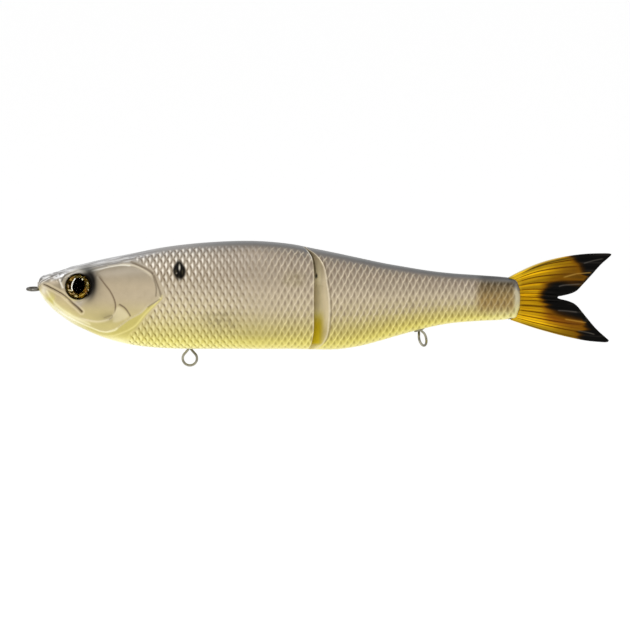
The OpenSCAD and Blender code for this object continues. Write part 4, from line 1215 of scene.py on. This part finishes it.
def node(nt, kind, **values):
    n = nt.nodes.new(kind)
    for k, v in values.items():
        if k.startswith("_"):
            setattr(n, k[1:], v)
        else:
            n.inputs[k].default_value = v
    return n


def attribute(nt, name):
    n = nt.nodes.new("ShaderNodeAttribute")
    n.attribute_type = "GEOMETRY"
    n.attribute_name = name
    return n


def mix_colour(nt, a, b, factor, blend="MIX"):
    n = nt.nodes.new("ShaderNodeMix")
    n.data_type = "RGBA"
    n.blend_type = blend
    for sock, value in ((n.inputs[6], a), (n.inputs[7], b)):
        if isinstance(value, tuple):
            sock.default_value = value
        else:
            nt.links.new(value, sock)
    if isinstance(factor, float):
        n.inputs[0].default_value = factor
    else:
        nt.links.new(factor, n.inputs[0])
    return n.outputs[2]


def math_node(nt, op, a, b=None, clamp_=False):
    n = nt.nodes.new("ShaderNodeMath")
    n.operation = op
    n.use_clamp = clamp_
    for i, v in enumerate((a, b)):
        if v is None:
            continue
        if isinstance(v, (int, float)):
            n.inputs[i].default_value = v
        else:
            nt.links.new(v, n.inputs[i])
    return n.outputs[0]


def ramp(nt, source, stops):
    n = nt.nodes.new("ShaderNodeValToRGB")
    nt.links.new(source, n.inputs[0])
    els = n.color_ramp.elements
    while len(els) < len(stops):
        els.new(0.5)
    for e, (pos, c) in zip(els, stops):
        e.position = pos
        e.color = c
    return n.outputs[0]


def lacquer(name, flake=0.10, coat=0.50, coat_rough=0.30, bump=0.04, spec=0.04):
    """Sprayed paint with fine pearl flake under clear lacquer; its colour, metal and roughness come from the mesh."""
    m, nt, p = new_material(name)
    coords = nt.nodes.new("ShaderNodeTexCoord")
    col = attribute(nt, "paint")
    flakes = node(nt, "ShaderNodeTexVoronoi", Scale=5200.0)
    nt.links.new(coords.outputs["Object"], flakes.inputs["Vector"])
    tint = ramp(nt, flakes.outputs["Color"], [(0.0, (0.86, 0.86, 0.86, 1)), (0.55, (1, 1, 1, 1)), (1.0, (1.16, 1.15, 1.12, 1))])
    c = mix_colour(nt, col.outputs["Color"], tint, flake, "MULTIPLY")
    mottle = node(nt, "ShaderNodeTexNoise", Scale=420.0, Detail=4.0, Roughness=0.6)
    nt.links.new(coords.outputs["Object"], mottle.inputs["Vector"])
    tint2 = ramp(nt, mottle.outputs["Fac"], [(0.30, (0.90, 0.89, 0.86, 1)), (0.5, (1, 1, 1, 1)), (0.72, (1.06, 1.06, 1.05, 1))])
    c = mix_colour(nt, c, tint2, 0.45, "MULTIPLY")
    nt.links.new(c, p.inputs["Base Color"])
    metal_ = attribute(nt, "metal")
    nt.links.new(metal_.outputs["Fac"], p.inputs["Metallic"])
    rough_ = attribute(nt, "rough")
    fine = node(nt, "ShaderNodeTexNoise", Scale=1800.0, Detail=3.0, Roughness=0.6)
    nt.links.new(coords.outputs["Object"], fine.inputs["Vector"])
    r = math_node(nt, "MULTIPLY_ADD", fine.outputs["Fac"], 0.10)
    nt.nodes[-1].inputs[2].default_value = -0.05
    r = math_node(nt, "ADD", rough_.outputs["Fac"], r, True)
    nt.links.new(r, p.inputs["Roughness"])
    b = nt.nodes.new("ShaderNodeBump")
    b.inputs["Strength"].default_value = bump
    b.inputs["Distance"].default_value = 0.0002
    nt.links.new(fine.outputs["Fac"], b.inputs["Height"])
    nt.links.new(b.outputs["Normal"], p.inputs["Normal"])
    if coat > 0:
        level = nt.nodes.new("ShaderNodeRGBToBW")
        nt.links.new(col.outputs["Color"], level.inputs[0])
        weight = ramp(nt, level.outputs[0], [(0.01, (0.05 * coat,) * 3 + (1,)), (0.12, (coat,) * 3 + (1,))])
        nt.links.new(weight, p.inputs["Coat Weight"])
    else:
        p.inputs["Coat Weight"].default_value = 0.0
    p.inputs["Coat Roughness"].default_value = coat_rough
    p.inputs["Specular IOR Level"].default_value = spec
    return m


def metal(name, light, dark, rough=0.24, scratch=900.0, pits=0.15):
    m, nt, p = new_material(name)
    coords = nt.nodes.new("ShaderNodeTexCoord")
    big = node(nt, "ShaderNodeTexNoise", Scale=260.0, Detail=4.0, Roughness=0.6)
    nt.links.new(coords.outputs["Object"], big.inputs["Vector"])
    fine = node(nt, "ShaderNodeTexNoise", Scale=scratch * 3, Detail=5.0, Roughness=0.7)
    nt.links.new(coords.outputs["Object"], fine.inputs["Vector"])
    c = ramp(nt, big.outputs["Fac"], [(0.32, dark + (1,)), (0.62, light + (1,))])
    nt.links.new(c, p.inputs["Base Color"])
    p.inputs["Metallic"].default_value = 1.0
    r = ramp(nt, fine.outputs["Fac"], [(0.3, (rough - 0.08,) * 3 + (1,)), (0.7, (rough + 0.12,) * 3 + (1,))])
    nt.links.new(r, p.inputs["Roughness"])
    b = nt.nodes.new("ShaderNodeBump")
    b.inputs["Strength"].default_value = pits
    b.inputs["Distance"].default_value = 0.00006
    nt.links.new(fine.outputs["Fac"], b.inputs["Height"])
    nt.links.new(b.outputs["Normal"], p.inputs["Normal"])
    return m


shell_mat = lacquer("front_shell")
rear_mat = lacquer("rear_shell")
for o in front_objs:
    o.data.materials.append(shell_mat)
for o in rear_objs:
    o.data.materials.append(rear_mat)

print_mat = lacquer("iris_print", flake=0.0, coat=0.0, bump=0.02, spec=0.0)
lens_mat, nt, p = new_material("clear_lens")
p.inputs["Base Color"].default_value = (0.98, 0.98, 0.96, 1)
coords = nt.nodes.new("ShaderNodeTexCoord")
wave = node(nt, "ShaderNodeTexNoise", Scale=300.0, Detail=2.0)
nt.links.new(coords.outputs["Object"], wave.inputs["Vector"])
r = ramp(nt, wave.outputs["Fac"], [(0.35, (0.0, 0.0, 0.0, 1)), (0.75, (0.03, 0.03, 0.03, 1))])
nt.links.new(r, p.inputs["Roughness"])
tint = ramp(nt, wave.outputs["Fac"], [(0.3, (0.99, 0.985, 0.96, 1)), (0.7, (0.97, 0.975, 0.965, 1))])
nt.links.new(tint, p.inputs["Base Color"])
p.inputs["Transmission Weight"].default_value = 1.0
p.inputs["Specular IOR Level"].default_value = 0.02
p.inputs["IOR"].default_value = 1.04
for iris, lens in eyes:
    iris.data.materials.append(print_mat)
    lens.data.materials.append(lens_mat)

# soft tail: tinted soft plastic
tail_mat, nt, p = new_material("soft_tail")
coords = nt.nodes.new("ShaderNodeTexCoord")
col = attribute(nt, "paint")
mott = node(nt, "ShaderNodeTexNoise", Scale=520.0, Detail=4.0, Roughness=0.6)
nt.links.new(coords.outputs["Object"], mott.inputs["Vector"])
tint = ramp(nt, mott.outputs["Fac"], [(0.3, (0.86, 0.84, 0.8, 1)), (0.5, (1, 1, 1, 1)), (0.72, (1.08, 1.07, 1.04, 1))])
c = mix_colour(nt, col.outputs["Color"], tint, 0.5, "MULTIPLY")
nt.links.new(c, p.inputs["Base Color"])
fine = node(nt, "ShaderNodeTexNoise", Scale=2400.0, Detail=3.0)
nt.links.new(coords.outputs["Object"], fine.inputs["Vector"])
r = math_node(nt, "MULTIPLY_ADD", fine.outputs["Fac"], 0.14)
nt.nodes[-1].inputs[2].default_value = -0.07
r = math_node(nt, "ADD", attribute(nt, "rough").outputs["Fac"], r, True)
nt.links.new(r, p.inputs["Roughness"])
b = nt.nodes.new("ShaderNodeBump")
b.inputs["Strength"].default_value = 0.1
b.inputs["Distance"].default_value = 0.0001
nt.links.new(fine.outputs["Fac"], b.inputs["Height"])
nt.links.new(b.outputs["Normal"], p.inputs["Normal"])
p.inputs["Specular IOR Level"].default_value = 0.03
tail.data.materials.append(tail_mat)

wire_mat = metal("hanger_wire", (0.36, 0.34, 0.255), (0.13, 0.12, 0.085), 0.22)
tie_mat = metal("tie_wire", (0.20, 0.19, 0.165), (0.05, 0.045, 0.038), 0.22)
barrel_mat = metal("barrel", (0.36, 0.34, 0.24), (0.16, 0.145, 0.09), 0.26)
joint_mat = metal("joint_steel", (0.62, 0.61, 0.58), (0.44, 0.43, 0.41), 0.22)
lead_mat = metal("ballast", (0.34, 0.34, 0.36), (0.20, 0.20, 0.22), 0.46, 500.0, 0.6)
front_ring.data.materials.append(wire_mat)
rear_ring.data.materials.append(wire_mat)
NODE_MATS = {
    "line_tie": tie_mat, "front_hanger_barrel": barrel_mat, "rear_hanger_barrel": barrel_mat, "joint_eye_upper": joint_mat,
    "joint_eye_lower": joint_mat, "joint_pin": joint_mat, "tail_cross_pin": joint_mat, "ballast_fore": lead_mat, "ballast_aft": lead_mat,
    "rear_ballast": lead_mat, "front_hanger_eye": wire_mat, "rear_hanger_eye": wire_mat, "tail_tab": tail_mat, "tail_blade": tail_mat,
    "iris_left": print_mat, "iris_right": print_mat, "lens_left": lens_mat, "lens_right": lens_mat, "head_shell_left": shell_mat,
    "head_shell_right": shell_mat, "rear_shell_left": rear_mat, "rear_shell_right": rear_mat}
for name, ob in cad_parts.items():
    ob.data.materials.clear()
    ob.data.materials.append(NODE_MATS[name])


# ---------------------------------------------------------------- stage, light and camera
def plane(name, size, z):
    me = bpy.data.meshes.new(name)
    s = size / 2
    me.from_pydata([(-s, -s, z), (s, -s, z), (s, s, z), (-s, s, z)], [], [(0, 1, 2, 3)])
    ob = bpy.data.objects.new(name, me)
    bpy.context.scene.collection.objects.link(ob)
    return ob


floor = plane("floor", 160.0, -0.36)
fm, nt, p = new_material("pale_floor")
p.inputs["Base Color"].default_value = (0.93, 0.93, 0.93, 1)
p.inputs["Roughness"].default_value = 0.9
p.inputs["Specular IOR Level"].default_value = 0.1
p.inputs["Emission Color"].default_value = (1, 1, 1, 1)
p.inputs["Emission Strength"].default_value = 0.25
floor.data.materials.append(fm)

world = bpy.data.worlds.new("studio")
bpy.context.scene.world = world
world.use_nodes = True
bg = world.node_tree.nodes["Background"]
bg.inputs["Color"].default_value = (1.0, 1.0, 1.0, 1)
bg.inputs["Strength"].default_value = 0.80


def area(name, where, aim, size, power, size_y=None, colour=(1, 1, 1)):
    L_ = bpy.data.lights.new(name, "AREA")
    L_.energy = power
    L_.color = colour
    L_.shape = "RECTANGLE" if size_y else "SQUARE"
    L_.size = size
    if size_y:
        L_.size_y = size_y
    ob = bpy.data.objects.new(name, L_)
    ob.location = where
    d = Vector(aim) - Vector(where)
    ob.rotation_euler = d.to_track_quat("-Z", "Y").to_euler()
    bpy.context.scene.collection.objects.link(ob)
    return ob


area("key", (-0.15, -0.60, 0.85), (0.09, 0, 0), 0.45, 3.2)
area("strip", (-0.50, -0.30, 0.20), (0.016, 0, 0), 0.07, 0.35, 0.7)
area("top", (0.12, 0.10, 0.85), (0.1, 0, 0), 0.8, 0.8, 0.5)

cam_data = bpy.data.cameras.new("camera")
cam = bpy.data.objects.new("camera", cam_data)
bpy.context.scene.collection.objects.link(cam)
e = math.radians(CAM_EL)
cam.location = (CAM_T[0] * MM, (CAM_T[1] - CAM_D * math.cos(e)) * MM, (CAM_T[2] + CAM_D * math.sin(e)) * MM)
cam.rotation_euler = (math.radians(90 - CAM_EL), 0, 0)
cam_data.sensor_width = 36
cam_data.lens = 150
cam_data.clip_start, cam_data.clip_end = 0.01, 300
bpy.context.scene.camera = cam
bpy.context.scene.view_settings.view_transform = "Standard"
